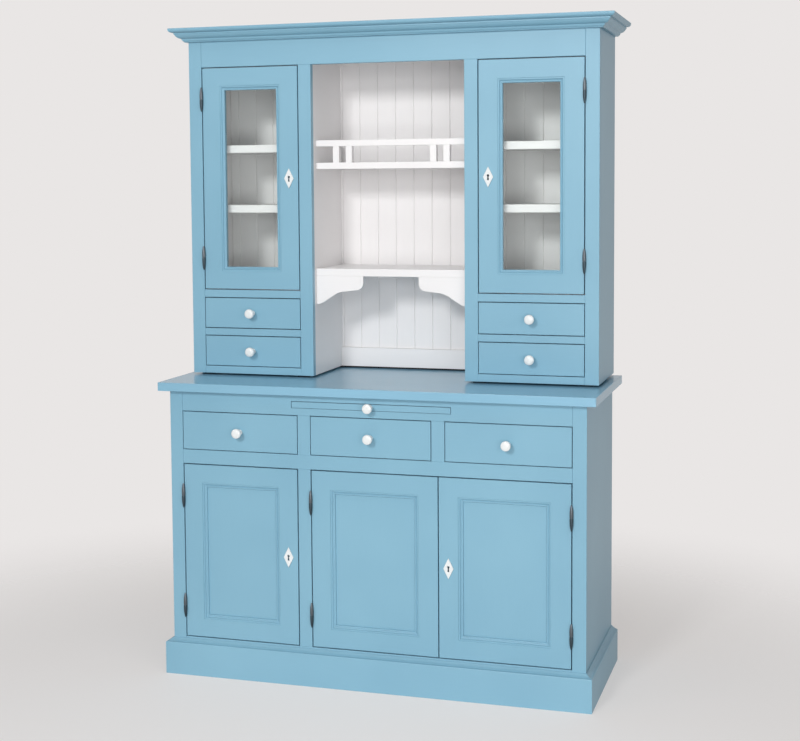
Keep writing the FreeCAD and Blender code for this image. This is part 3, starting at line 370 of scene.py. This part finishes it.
def dressNode(nodeName, finishOf, easeOf, edgeRound, settle=None):
    # finishOf says what a face wears, from its outward normal, its centre and its board's box
    source = frame["nodes"][nodeName].data
    dice = random.Random(nodeName)
    verts, faces, grains, worn, normals, names = [], [], [], [], [], []
    for shell in closedShells(source):
        board = roundedBoard(boardMesh(source, shell, easeOf, settle), edgeRound)
        mesh = plainMesh(board, nodeName)
        low = Vector([min(v.co[k] for v in mesh.vertices) for k in range(3)])
        high = Vector([max(v.co[k] for v in mesh.vertices) for k in range(3)])
        base = len(verts)
        grains += grainOf(mesh, dice)
        verts += [v.co.copy() for v in mesh.vertices]
        normals += [Vector(n.vector) for n in mesh.corner_normals]
        for face in mesh.polygons:
            finish = finishOf(face.normal, face.center, low, high)
            if finish not in names:
                names.append(finish)
            worn.append(names.index(finish))
            faces.append([base + index for index in face.vertices])
        bpy.data.meshes.remove(mesh)
    dressed = bpy.data.meshes.new(nodeName + "_dressed")
    dressed.from_pydata(verts, [], faces)
    for finish in names:
        dressed.materials.append(finishes[finish])
    for face, index in zip(dressed.polygons, worn):
        face.use_smooth = True
        face.material_index = index
    dressed.normals_split_custom_set(normals)
    grain = dressed.attributes.new("grain", "FLOAT_VECTOR", "POINT")
    grain.data.foreach_set("vector", [c for spot in grains for c in spot])
    return addPiece(dressed, nodeName + "_dressed", bodyOfNode[nodeName], slotOfNode[nodeName],
                    nodeName)


# What each face wears, from its outward normal, its centre and its board's box.

faceSizes = {"facing": 0.5, "frontThick": 0.03, "frontHigh": 0.08, "frontBefore": -0.03,
             "hingeSlim": 0.02, "shortEdge": 0.008}


def allOver(finish):
    return lambda normal, centre, low, high: finish


def sideFinish(inner):
    # the face turned to the inside of the carcass
    return lambda normal, centre, low, high: (
        inner if normal.x * centre.x < 0 and abs(normal.x) > faceSizes["facing"] else "bluePaint")


def backBoardFinish(normal, centre, low, high):
    return "spruce" if normal.y > faceSizes["facing"] else "whitePaint"


def topBoardFinish(normal, centre, low, high):
    return "spruce" if normal.z > faceSizes["facing"] else "whitePaint"


def drawerFinish(normal, centre, low, high):
    # the front board is thin in depth and the tallest; all of it but its back is painted
    isFront = (high.y - low.y < faceSizes["frontThick"] and high.z - low.z > faceSizes["frontHigh"]
               and low.y < faceSizes["frontBefore"])
    return "bluePaint" if isFront and normal.y < faceSizes["facing"] else "spruce"


def ironFinish(normal, centre, low, high):
    # hinge halves are slim and wear the lighter copy of the hinge iron, painted light; the lock and
    # bolt cases are not
    return "hingeIronPaintedLight" if high.x - low.x < faceSizes["hingeSlim"] else "dullZinc"


# How much of the rounding each sharp edge gets, from its middle and its length.

def everyEdge(middle, length):
    return 1


def longEdge(middle, length):
    return 1 if length > faceSizes["shortEdge"] else 0


leafSizes = {"rim": 0.0002, "arris": 0.001, "mitre": 0.0008}


def leafRim(nodeName):
    # stiles and rails are levelled and painted over, so only the leaf's rim is eased
    low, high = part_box(nodeName)
    return lambda middle, length: 1 if leafSizes["rim"] > min(
        middle.x - low[0], high[0] - middle.x, middle.z - low[2], high[2] - middle.z) else 0


def leafLevel(nodeName):
    # where a stile meets a rail their faces run on; between the rails it keeps the arris of a board
    low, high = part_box(nodeName)
    mesh = frame["nodes"][nodeName].data
    rails = []
    for shell in closedShells(mesh):
        spots = [mesh.vertices[index].co for face in shell for index in face]
        bottom, top = min(spot.z for spot in spots), max(spot.z for spot in spots)
        atFront = min(spot.y for spot in spots) < low[1] + leafSizes["rim"]
        if atFront and top - bottom < (high[2] - low[2]) / 2:
            rails.append((bottom, top))
    opening = min(top for bottom, top in rails), max(bottom for bottom, top in rails)

    def settle(board):
        sides = min(vert.co.x for vert in board.verts), max(vert.co.x for vert in board.verts)
        inner = [x for x in sides if min(x - low[0], high[0] - x) > leafSizes["arris"]]
        if len(inner) != 1:
            return
        for height in (opening[0] - leafSizes["mitre"], *opening, opening[1] + leafSizes["mitre"]):
            bmesh.ops.bisect_plane(board, geom=board.verts[:] + board.edges[:] + board.faces[:],
                                   plane_co=(0, 0, height), plane_no=(0, 0, 1))
        for vert in board.verts:
            beyond = max(opening[0] - vert.co.z, vert.co.z - opening[1])
            atFront = vert.co.y < low[1] + leafSizes["rim"]
            atArris = abs(vert.co.x - inner[0]) < leafSizes["arris"]
            if atFront and atArris and beyond > leafSizes["mitre"] / 2:
                vert.co.x = inner[0]
    return settle


frontSizes = {"edgeRound": 0.0016, "corner": 1, "postGroove": 1.3, "others": 0.3,
              "basePost": 0.604, "hutchPost": 0.607, "reach": 0.0003, "outer": 0.02}


def frontEdge(postLine):
    # a fine V where the rails meet the posts, and softer outer corners
    def easeOf(middle, length):
        if abs(abs(middle.x) - postLine) < frontSizes["reach"]:
            return frontSizes["postGroove"]
        isOuter = abs(middle.x) > postLine + frontSizes["outer"]
        return frontSizes["corner"] if isOuter else frontSizes["others"]
    return easeOf


timber = {
    "base_sides": sideFinish("spruce"), "plinth": allOver("bluePaint"),
    "worktop": allOver("worktopPaint"),
    "hutch_sides": sideFinish("whitePaint"), "cornice": allOver("bluePaint"),
    "pull_out_board": allOver("bluePaint"),
    "niche_walls": allOver("whitePaint"), "hutch_top": topBoardFinish,
    "tower_shelves": allOver("whitePaint"), "hutch_back_boards": backBoardFinish,
    "niche_shelf": allOver("whitePaint"), "gallery": allOver("whitePaint"),
    "niche_skirting": allOver("whitePaint"), "niche_brackets": allOver("whitePaint"),
    "base_back_panel": allOver("spruce"), "base_inner_boards": allOver("spruce"),
    # the pads are felt; the long dark strip under the back stands in the gap as painted shade
    "drawer_runners": allOver("spruce"), "hutch_pads": allOver("darkFeltAndPaintedShade"),
}
for nodeName, finishOf in timber.items():
    dressNode(nodeName, finishOf, everyEdge, timberSizes["edgeRound"])
for nodeName, postLine in (("base_front_frame", "basePost"), ("hutch_front_frame", "hutchPost")):
    dressNode(nodeName, allOver("bluePaint"), frontEdge(frontSizes[postLine]),
              frontSizes["edgeRound"])
for nodeName in list(frame["nodes"]):
    if "_door_" in nodeName and nodeName.endswith("_frame"):
        dressNode(nodeName, allOver("bluePaint"), leafRim(nodeName), timberSizes["edgeRound"],
                  leafLevel(nodeName))
    elif nodeName.endswith("_panel") and "_door_" in nodeName:
        dressNode(nodeName, allOver("bluePaint"), everyEdge, timberSizes["edgeRound"])
    elif "_drawer_" in nodeName and not nodeName.endswith("_knob"):
        dressNode(nodeName, drawerFinish, everyEdge, timberSizes["edgeRound"])
print("timber dressed")


ironSizes = {"edgeRound": 0.0003, "plateRound": 0.0007}
for nodeName in list(frame["nodes"]):
    if nodeName.endswith("_glass"):
        pane = frame["nodes"][nodeName].data
        pane.materials.clear()
        pane.materials.append(finishes["glass"])
    elif nodeName.endswith("_bolt"):
        dressNode(nodeName, allOver("dullZinc"), longEdge, ironSizes["edgeRound"])
    elif nodeName.endswith("_ironwork"):
        dressNode(nodeName, ironFinish, longEdge, ironSizes["edgeRound"])
    elif nodeName == "frame_hinge_pins":
        # the frame's hinge halves wear the darker copy of the hinge iron, painted shade
        dressNode(nodeName, allOver("hingeIronPaintedShade"), longEdge, ironSizes["edgeRound"])
    elif nodeName.endswith("_escutcheon"):
        dressNode(nodeName, allOver("whitePorcelain"), longEdge, ironSizes["plateRound"])
print("ironwork and glass dressed")


# Pieces laid out by geometry nodes.

def newLayout(name, inputs):
    tree = bpy.data.node_groups.new(name, "GeometryNodeTree")
    tree.interface.new_socket("Geometry", in_out="INPUT", socket_type="NodeSocketGeometry")
    for label, kind in inputs.items():
        tree.interface.new_socket(label, in_out="INPUT", socket_type="NodeSocket" + kind)
    tree.interface.new_socket("Geometry", in_out="OUTPUT", socket_type="NodeSocketGeometry")
    return tree, addNode(tree, "NodeGroupInput").outputs


def endLayout(tree, given, instances):
    single = addNode(tree, "GeometryNodeRealizeInstances", inputs={"Geometry": instances})
    worn = addNode(tree, "GeometryNodeSetMaterial", inputs={
        "Geometry": single.outputs["Geometry"], "Material": given["Finish"]})
    addNode(tree, "NodeGroupOutput", inputs={"Geometry": worn.outputs["Geometry"]})


def layOut(tree, name, spots, values):
    # spots are pairs: a place, and the way that the piece there faces
    mesh = bpy.data.meshes.new(name)
    mesh.from_pydata([place for place, facing in spots], [], [])
    facings = mesh.attributes.new("facing", "FLOAT_VECTOR", "POINT")
    facings.data.foreach_set("vector", [c for place, facing in spots for c in facing])
    piece = bpy.data.objects.new(name, mesh)
    scene.collection.objects.link(piece)
    layout = piece.modifiers.new("layout", "NODES")
    layout.node_group = tree
    for item in tree.interface.items_tree:
        if item.in_out == "INPUT" and item.name in values:
            layout[item.identifier] = values[item.name]
    return plainMesh(piece, name)


# Turned porcelain knob: the curves give radius and reach, as shares, along the profile from its
# back to its front.
knobSizes = {"diameter": 0.030, "reach": 0.034, "stepsRound": 48, "stepsAlong": 44,
             "radii": [(0, 0), (0.1, 0.6), (0.15, 0.6), (0.22, 0.46), (0.34, 0.42), (0.46, 0.64),
                       (0.56, 0.92), (0.62, 0.985), (0.68, 1), (0.74, 0.96), (0.83, 0.72),
                       (0.92, 0.37), (1, 0)],
             "reaches": [(0, 0), (0.1, 0), (0.15, 0.05), (0.22, 0.12), (0.34, 0.3), (0.46, 0.46),
                         (0.56, 0.6), (0.62, 0.68), (0.68, 0.78), (0.74, 0.87), (0.83, 0.955),
                         (0.92, 0.99), (1, 1)],
             "poleWeld": 0.00001}


def knobLayout(sizes):
    tree, given = newLayout("turnedKnobs", {
        "Diameter": "Float", "Reach": "Float", "Steps Round": "Int", "Steps Along": "Int",
        "Finish": "Material"})
    sheet = addNode(tree, "GeometryNodeMeshGrid", inputs={
        "Size X": 1, "Size Y": 1,
        "Vertices X": given["Steps Round"], "Vertices Y": given["Steps Along"]})
    place = addNode(tree, "ShaderNodeSeparateXYZ", inputs={
        "Vector": addNode(tree, "GeometryNodeInputPosition").outputs["Position"]})
    along = addNode(tree, "ShaderNodeMath", {"operation": "ADD"}, {0: place.outputs["Y"], 1: 0.5})
    angle = addNode(tree, "ShaderNodeMath", {"operation": "MULTIPLY"}, {
        0: place.outputs["X"], 1: math.tau})
    shares = {}
    for name in ("radii", "reaches"):
        curve = addNode(tree, "ShaderNodeFloatCurve", inputs={"Value": along.outputs["Value"]})
        points = curve.mapping.curves[0].points
        points[0].location, points[1].location = sizes[name][0], sizes[name][-1]
        for spot in sizes[name][1:-1]:
            points.new(*spot)
        curve.mapping.update()
        shares[name] = curve.outputs["Value"]
    fullRadius = addNode(tree, "ShaderNodeMath", {"operation": "DIVIDE"}, {
        0: given["Diameter"], 1: 2})
    radius = addNode(tree, "ShaderNodeMath", {"operation": "MULTIPLY"}, {
        0: shares["radii"], 1: fullRadius.outputs["Value"]})
    height = addNode(tree, "ShaderNodeMath", {"operation": "MULTIPLY"}, {
        0: shares["reaches"], 1: given["Reach"]})
    around = {}
    for name in ("COSINE", "SINE"):
        share = addNode(tree, "ShaderNodeMath", {"operation": name}, {0: angle.outputs["Value"]})
        around[name] = addNode(tree, "ShaderNodeMath", {"operation": "MULTIPLY"}, {
            0: radius.outputs["Value"], 1: share.outputs["Value"]})
    turned = addNode(tree, "GeometryNodeSetPosition", inputs={
        "Geometry": sheet.outputs["Mesh"],
        "Position": addNode(tree, "ShaderNodeCombineXYZ", inputs={
            "X": around["COSINE"].outputs["Value"], "Y": around["SINE"].outputs["Value"],
            "Z": height.outputs["Value"]}).outputs["Vector"]})
    closed = addNode(tree, "GeometryNodeMergeByDistance", inputs={
        "Geometry": turned.outputs["Geometry"], "Distance": sizes["poleWeld"]})
    smooth = addNode(tree, "GeometryNodeSetShadeSmooth", inputs={
        "Geometry": closed.outputs["Geometry"]})
    facing = addNode(tree, "GeometryNodeInputNamedAttribute", {"data_type": "FLOAT_VECTOR"}, {
        "Name": "facing"})
    turn = addNode(tree, "FunctionNodeAlignRotationToVector", {"axis": "Z"}, {
        "Vector": facing.outputs["Attribute"]})
    knobs = addNode(tree, "GeometryNodeInstanceOnPoints", inputs={
        "Points": given["Geometry"], "Instance": smooth.outputs["Geometry"],
        "Rotation": turn.outputs["Rotation"]})
    endLayout(tree, given, knobs.outputs["Instances"])
    return tree


knobTree = knobLayout(knobSizes)
for nodeName in list(frame["nodes"]):
    if nodeName.endswith("_knob"):
        low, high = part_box(nodeName)
        seat = ((low[0] + high[0]) / 2, high[1], (low[2] + high[2]) / 2)
        knob = layOut(knobTree, nodeName + "_turned", [(seat, (0, -1, 0))], {
            "Diameter": knobSizes["diameter"], "Reach": knobSizes["reach"],
            "Finish": finishes["whitePorcelain"],
            "Steps Round": knobSizes["stepsRound"], "Steps Along": knobSizes["stepsAlong"]})
        addPiece(knob, nodeName + "_turned", bodyOfNode[nodeName], slotOfNode[nodeName], nodeName)
print("knobs turned")


# Screws and nails: one head of each kind, set on points, each turned about its own axis by chance.
screwSizes = {"radius": 0.0025, "bevel": 0.0005, "height": 0.0003, "slot": 0.0004, "steps": 7,
              "seed": 4}
nailSizes = {"radius": 0.0017, "bevel": 0.0006, "height": 0.0004, "slot": 0, "steps": 6, "seed": 9}


def fastenerLayout():
    tree, given = newLayout("setFasteners", {"Head": "Object", "Seed": "Int", "Finish": "Material"})
    head = addNode(tree, "GeometryNodeObjectInfo", inputs={"Object": given["Head"]})
    facing = addNode(tree, "GeometryNodeInputNamedAttribute", {"data_type": "FLOAT_VECTOR"}, {
        "Name": "facing"})
    turn = addNode(tree, "FunctionNodeAlignRotationToVector", {"axis": "Z"}, {
        "Vector": facing.outputs["Attribute"]})
    chance = addNode(tree, "FunctionNodeRandomValue", {"data_type": "FLOAT"}, {
        "Seed": given["Seed"]})
    chance.inputs[3].default_value = math.pi
    spin = addNode(tree, "FunctionNodeAxisAngleToRotation", inputs={
        "Axis": (0, 0, 1), "Angle": chance.outputs[1]})
    both = addNode(tree, "FunctionNodeRotateRotation", {"rotation_space": "LOCAL"}, {
        "Rotation": turn.outputs["Rotation"], "Rotate By": spin.outputs["Rotation"]})
    heads = addNode(tree, "GeometryNodeInstanceOnPoints", inputs={
        "Points": given["Geometry"], "Instance": head.outputs["Geometry"],
        "Rotation": both.outputs["Rotation"]})
    endLayout(tree, given, heads.outputs["Instances"])
    return tree


def headPiece(name, sizes):
    # two closed halves with the driver's slot between them, or one round head without a slot
    shape = bmesh.new()
    turns = (0, math.pi) if sizes["slot"] else (0,)
    for turn in turns:
        rings = []
        for radius, height in ((sizes["radius"], -sizes["height"]), (sizes["radius"], 0.0),
                               (sizes["radius"] - sizes["bevel"], sizes["height"])):
            ring = []
            if sizes["slot"]:
                start = math.asin(sizes["slot"] / radius)
                step = (math.pi - 2 * start) / sizes["steps"]
                angles = [start + step * k for k in range(sizes["steps"] + 1)]
            else:
                angles = [math.pi * k / sizes["steps"] for k in range(2 * sizes["steps"])]
            for angle in angles:
                ring.append(shape.verts.new((
                    radius * math.cos(angle + turn), radius * math.sin(angle + turn), height)))
            rings.append(ring)
        for lower, upper in zip(rings, rings[1:]):
            for k in range(len(lower)):
                n = (k + 1) % len(lower)
                shape.faces.new((lower[k], lower[n], upper[n], upper[k]))
        shape.faces.new(rings[-1])
        shape.faces.new(rings[0][::-1])
    mesh = bpy.data.meshes.new(name)
    shape.to_mesh(mesh)
    shape.free()
    piece = bpy.data.objects.new(name, mesh)
    scene.collection.objects.link(piece)
    return piece


hingeSizes = {"heights": {"base": (0.216, 0.5595), "glass": (1.282, 1.7795)}, "screwHeight": 0.0133,
              "screwDepths": (0.005, 0.013), "leafFace": 0.0001, "halfGap": 0.0015}
caseSizes = {"depth": 0.036, "inset": 0.006, "lock": (0.052, 0.060), "lockEdge": 0.002,
             "lockHeights": {"base": 0.38775, "glass": 1.53075},
             "slideBolt": (0.163, 0.191, 0.5705, 0.6545)}
nailRows = {"hutchHeights": (0.928, 1.173, 1.981), "firstJoint": 0.0045, "board": 0.0605,
            "pair": 0.018, "boards": (-11, 11), "edgeInset": 0.004, "back": 0.257,
            "panelInset": 0.012, "panelStep": 0.115}

screwSpots = {"root": []}
for nodeName in list(frame["nodes"]):
    if "_door_" not in nodeName or not nodeName.endswith("_frame"):
        continue
    door = nodeName.removesuffix("_frame")
    lowerBox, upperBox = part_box(nodeName)
    kind = door.split("_")[0]
    side = -1 if door.endswith("right") else 1    # +1 where the door lies to the right of its pins
    face = lowerBox[1]
    pins = (lowerBox[0] if side > 0 else upperBox[0]) - side * hingeSizes["halfGap"]
    spots = screwSpots.setdefault(door, [])
    for spotHeight in hingeSizes["heights"][kind]:
        for depth in hingeSizes["screwDepths"]:
            spots.append(((pins - side * hingeSizes["leafFace"], face + depth,
                           spotHeight + hingeSizes["screwHeight"]), (-side, 0, 0)))
            screwSpots["root"].append(((pins + side * hingeSizes["leafFace"], face + depth,
                                        spotHeight - hingeSizes["screwHeight"]), (side, 0, 0)))
    if door.endswith("middle"):
        left, right, low, high = caseSizes["slideBolt"]
    else:
        closing = (upperBox[0] if side > 0 else lowerBox[0]) - side * caseSizes["lockEdge"]
        left, right = sorted((closing, closing - side * caseSizes["lock"][0]))
        low = caseSizes["lockHeights"][kind] - caseSizes["lock"][1] / 2
        high = low + caseSizes["lock"][1]
    for x in (left + caseSizes["inset"], right - caseSizes["inset"]):
        for z in (low + caseSizes["inset"], high - caseSizes["inset"]):
            spots.append(((x, face + caseSizes["depth"], z), (0, 1, 0)))

nailSpots = []
(panelLeft, _, panelLow), (panelRight, _, panelHigh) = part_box("base_back_panel")
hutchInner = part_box("hutch_back_boards")[1][0]
for k in range(*nailRows["boards"]):
    centre = nailRows["firstJoint"] + (k + 0.5) * nailRows["board"]
    for x in (centre - nailRows["pair"], centre + nailRows["pair"]):
        if abs(x) < hutchInner - nailRows["edgeInset"]:
            nailSpots += [((x, nailRows["back"], z), (0, 1, 0)) for z in nailRows["hutchHeights"]]
inset = nailRows["panelInset"]
across = round((panelRight - panelLeft) / nailRows["panelStep"])
upward = round((panelHigh - panelLow) / nailRows["panelStep"])
for k in range(across + 1):
    x = panelLeft + inset + (panelRight - panelLeft - 2 * inset) * k / across
    nailSpots += [((x, nailRows["back"], z), (0, 1, 0))
                  for z in (panelLow + inset, panelHigh - inset)]
for k in range(1, upward):
    z = panelLow + inset + (panelHigh - panelLow - 2 * inset) * k / upward
    nailSpots += [((x, nailRows["back"], z), (0, 1, 0))
                  for x in (panelLeft + inset, panelRight - inset)]

fastenerTree = fastenerLayout()
screwHead, nailHead = headPiece("screwHead", screwSizes), headPiece("nailHead", nailSizes)
for body, spots in screwSpots.items():
    mesh = layOut(fastenerTree, body + "_screws", spots, {
        "Head": screwHead, "Seed": screwSizes["seed"], "Finish": finishes["dullZinc"]})
    addPiece(mesh, body + "_screws", body, slotOfNode["frame_hinge_pins"])
mesh = layOut(fastenerTree, "back_nails", nailSpots, {
    "Head": nailHead, "Seed": nailSizes["seed"], "Finish": finishes["dullZinc"]})
addPiece(mesh, "back_nails", "root", slotOfNode["frame_hinge_pins"])
for head in (screwHead, nailHead):
    bpy.data.objects.remove(head)
print("screws set on", len(screwSpots), "bodies, and", len(nailSpots), "nails")


studioSizes = {"wall": "#E9E6E5", "floor": "#EFECEA", "floorHalf": 14, "fadeCentre": (0, -0.6, 0),
               "fadeStart": 1.2, "fadeEnd": 2.8, "floorGlow": 0.5, "floorRoughness": 0.7,
               "ambient": 0.22}
lampSizes = {
    "key": {"spot": (-0.9, -7.0, 4.0), "aim": (0, 0, 1.1), "size": (1.1, 1.1), "power": 223},
    "far": {"spot": (0.4, -7.5, 2.4), "aim": (0, 0, 1.1), "size": (1.0, 1.0), "power": 43},
    "front": {"spot": (1.4, -5.4, 1.6), "aim": (0, 0, 1.0), "size": (2.4, 2.0), "power": 20},
    "top": {"spot": (0.2, -1.1, 3.5), "aim": (0, -0.2, 0.9), "size": (3.0, 0.8), "power": 11},
    "left": {"spot": (-3.2, -3.0, 1.7), "aim": (0, 0, 1.1), "size": (4.0, 2.8), "power": 8},
    "right": {"spot": (3.0, -3.4, 1.6), "aim": (0, 0, 1.1), "size": (2.4, 2.4), "power": 31},
    "low": {"spot": (1.6, -4.4, 0.9), "aim": (0, 0, 0.95), "size": (2.8, 1.0), "power": 42},
}


def seenByEye(tree):
    # 1 for rays from the camera, and for what metal mirrors and glass lets through
    path = addNode(tree, "ShaderNodeLightPath")
    direct = addNode(tree, "ShaderNodeMath", {"operation": "MAXIMUM"}, {
        0: path.outputs["Is Camera Ray"], 1: path.outputs["Is Transmission Ray"]})
    return addNode(tree, "ShaderNodeMath", {"operation": "MAXIMUM"}, {
        0: direct.outputs["Value"], 1: path.outputs["Is Glossy Ray"]}).outputs["Value"]


def makeStudio(sizes, lamps):
    world = bpy.data.worlds.new("studio")
    scene.world = world
    world.use_nodes = True
    tree = world.node_tree
    tree.nodes.clear()
    wall = addNode(tree, "ShaderNodeBackground", inputs={
        "Color": toLinear(sizes["wall"]), "Strength": 1})
    light = addNode(tree, "ShaderNodeBackground", inputs={
        "Color": toLinear("#FFFFFF"), "Strength": sizes["ambient"]})
    both = addNode(tree, "ShaderNodeMixShader", inputs={
        0: seenByEye(tree), 1: light.outputs["Background"], 2: wall.outputs["Background"]})
    addNode(tree, "ShaderNodeOutputWorld", inputs={"Surface": both.outputs["Shader"]})

    # the floor near the cabinet takes its shadow; further out it fades into the backdrop
    material, tree, surface = newMaterial("paleFloor")
    spot = addNode(tree, "ShaderNodeTexCoord")
    away = addNode(tree, "ShaderNodeVectorMath", {"operation": "DISTANCE"}, {
        0: spot.outputs["Object"], 1: sizes["fadeCentre"]})
    fade = addNode(tree, "ShaderNodeMapRange", {"interpolation_type": "SMOOTHSTEP"}, {
        "Value": away.outputs["Value"],
        "From Min": sizes["fadeStart"], "From Max": sizes["fadeEnd"]})
    seen = addNode(tree, "ShaderNodeMath", {"operation": "MULTIPLY"}, {
        0: seenByEye(tree), 1: sizes["floorGlow"]})
    glow = addNode(tree, "ShaderNodeEmission", inputs={
        "Color": toLinear(sizes["wall"]), "Strength": 1})
    lifted = addNode(tree, "ShaderNodeMixShader", inputs={
        0: seen.outputs["Value"], 1: surface.outputs["BSDF"], 2: glow.outputs["Emission"]})
    clear = addNode(tree, "ShaderNodeBsdfTransparent")
    faded = addNode(tree, "ShaderNodeMixShader", inputs={
        0: fade.outputs["Result"], 1: lifted.outputs["Shader"], 2: clear.outputs["BSDF"]})
    tree.links.new(faded.outputs["Shader"], tree.nodes["Material Output"].inputs["Surface"])
    surface.inputs["Base Color"].default_value = toLinear(sizes["floor"])
    surface.inputs["Roughness"].default_value = sizes["floorRoughness"]
    half = sizes["floorHalf"]
    mesh = bpy.data.meshes.new("floor")
    corners = [(-half, -half, 0), (half, -half, 0), (half, half, 0), (-half, half, 0)]
    mesh.from_pydata(corners, [], [(0, 1, 2, 3)])
    mesh.materials.append(material)
    floor = bpy.data.objects.new("floor", mesh)
    scene.collection.objects.link(floor)

    for name, lamp in lamps.items():
        data = bpy.data.lights.new(name, "AREA")
        data.shape = "RECTANGLE"
        data.size, data.size_y = lamp["size"]
        data.energy = lamp["power"]
        light = bpy.data.objects.new(name, data)
        light.location = lamp["spot"]
        towards = Vector(lamp["aim"]) - Vector(lamp["spot"])
        light.rotation_euler = towards.to_track_quat("-Z", "Y").to_euler()
        light.visible_camera = light.visible_transmission = False    # nor seen through the glass
        scene.collection.objects.link(light)


makeStudio(studioSizes, lampSizes)
scene.view_settings.view_transform = "Standard"
print("studio lit")


# The camera stands where the photograph was taken from.
cameraSizes = {"spot": (1.3216, -4.2925, 1.5115), "yaw": -16.7251, "pitch": 4.2753, "roll": -0.3758,
               "lens": 65.8101, "sensor": 36, "shiftX": -0.00113, "shiftY": -0.09653}


def makeCamera(sizes):
    yaw, pitch, roll = (math.radians(sizes[name]) for name in ("yaw", "pitch", "roll"))
    level = math.cos(pitch)
    ahead = Vector((math.sin(yaw) * level, math.cos(yaw) * level, -math.sin(pitch)))
    right = ahead.cross(Vector((0, 0, 1))).normalized()
    up = right.cross(ahead)
    leaning = Matrix.Rotation(-roll, 3, ahead)
    right, up = leaning @ right, leaning @ up
    camera = bpy.data.objects.new("camera", bpy.data.cameras.new("camera"))
    camera.data.sensor_width = sizes["sensor"]
    camera.data.lens = sizes["lens"]
    camera.data.shift_x = sizes["shiftX"]
    camera.data.shift_y = sizes["shiftY"]
    turn = Matrix((right, up, -ahead)).transposed().to_4x4()
    camera.matrix_world = Matrix.Translation(sizes["spot"]) @ turn
    scene.collection.objects.link(camera)
    scene.camera = camera


makeCamera(cameraSizes)
print("camera set")
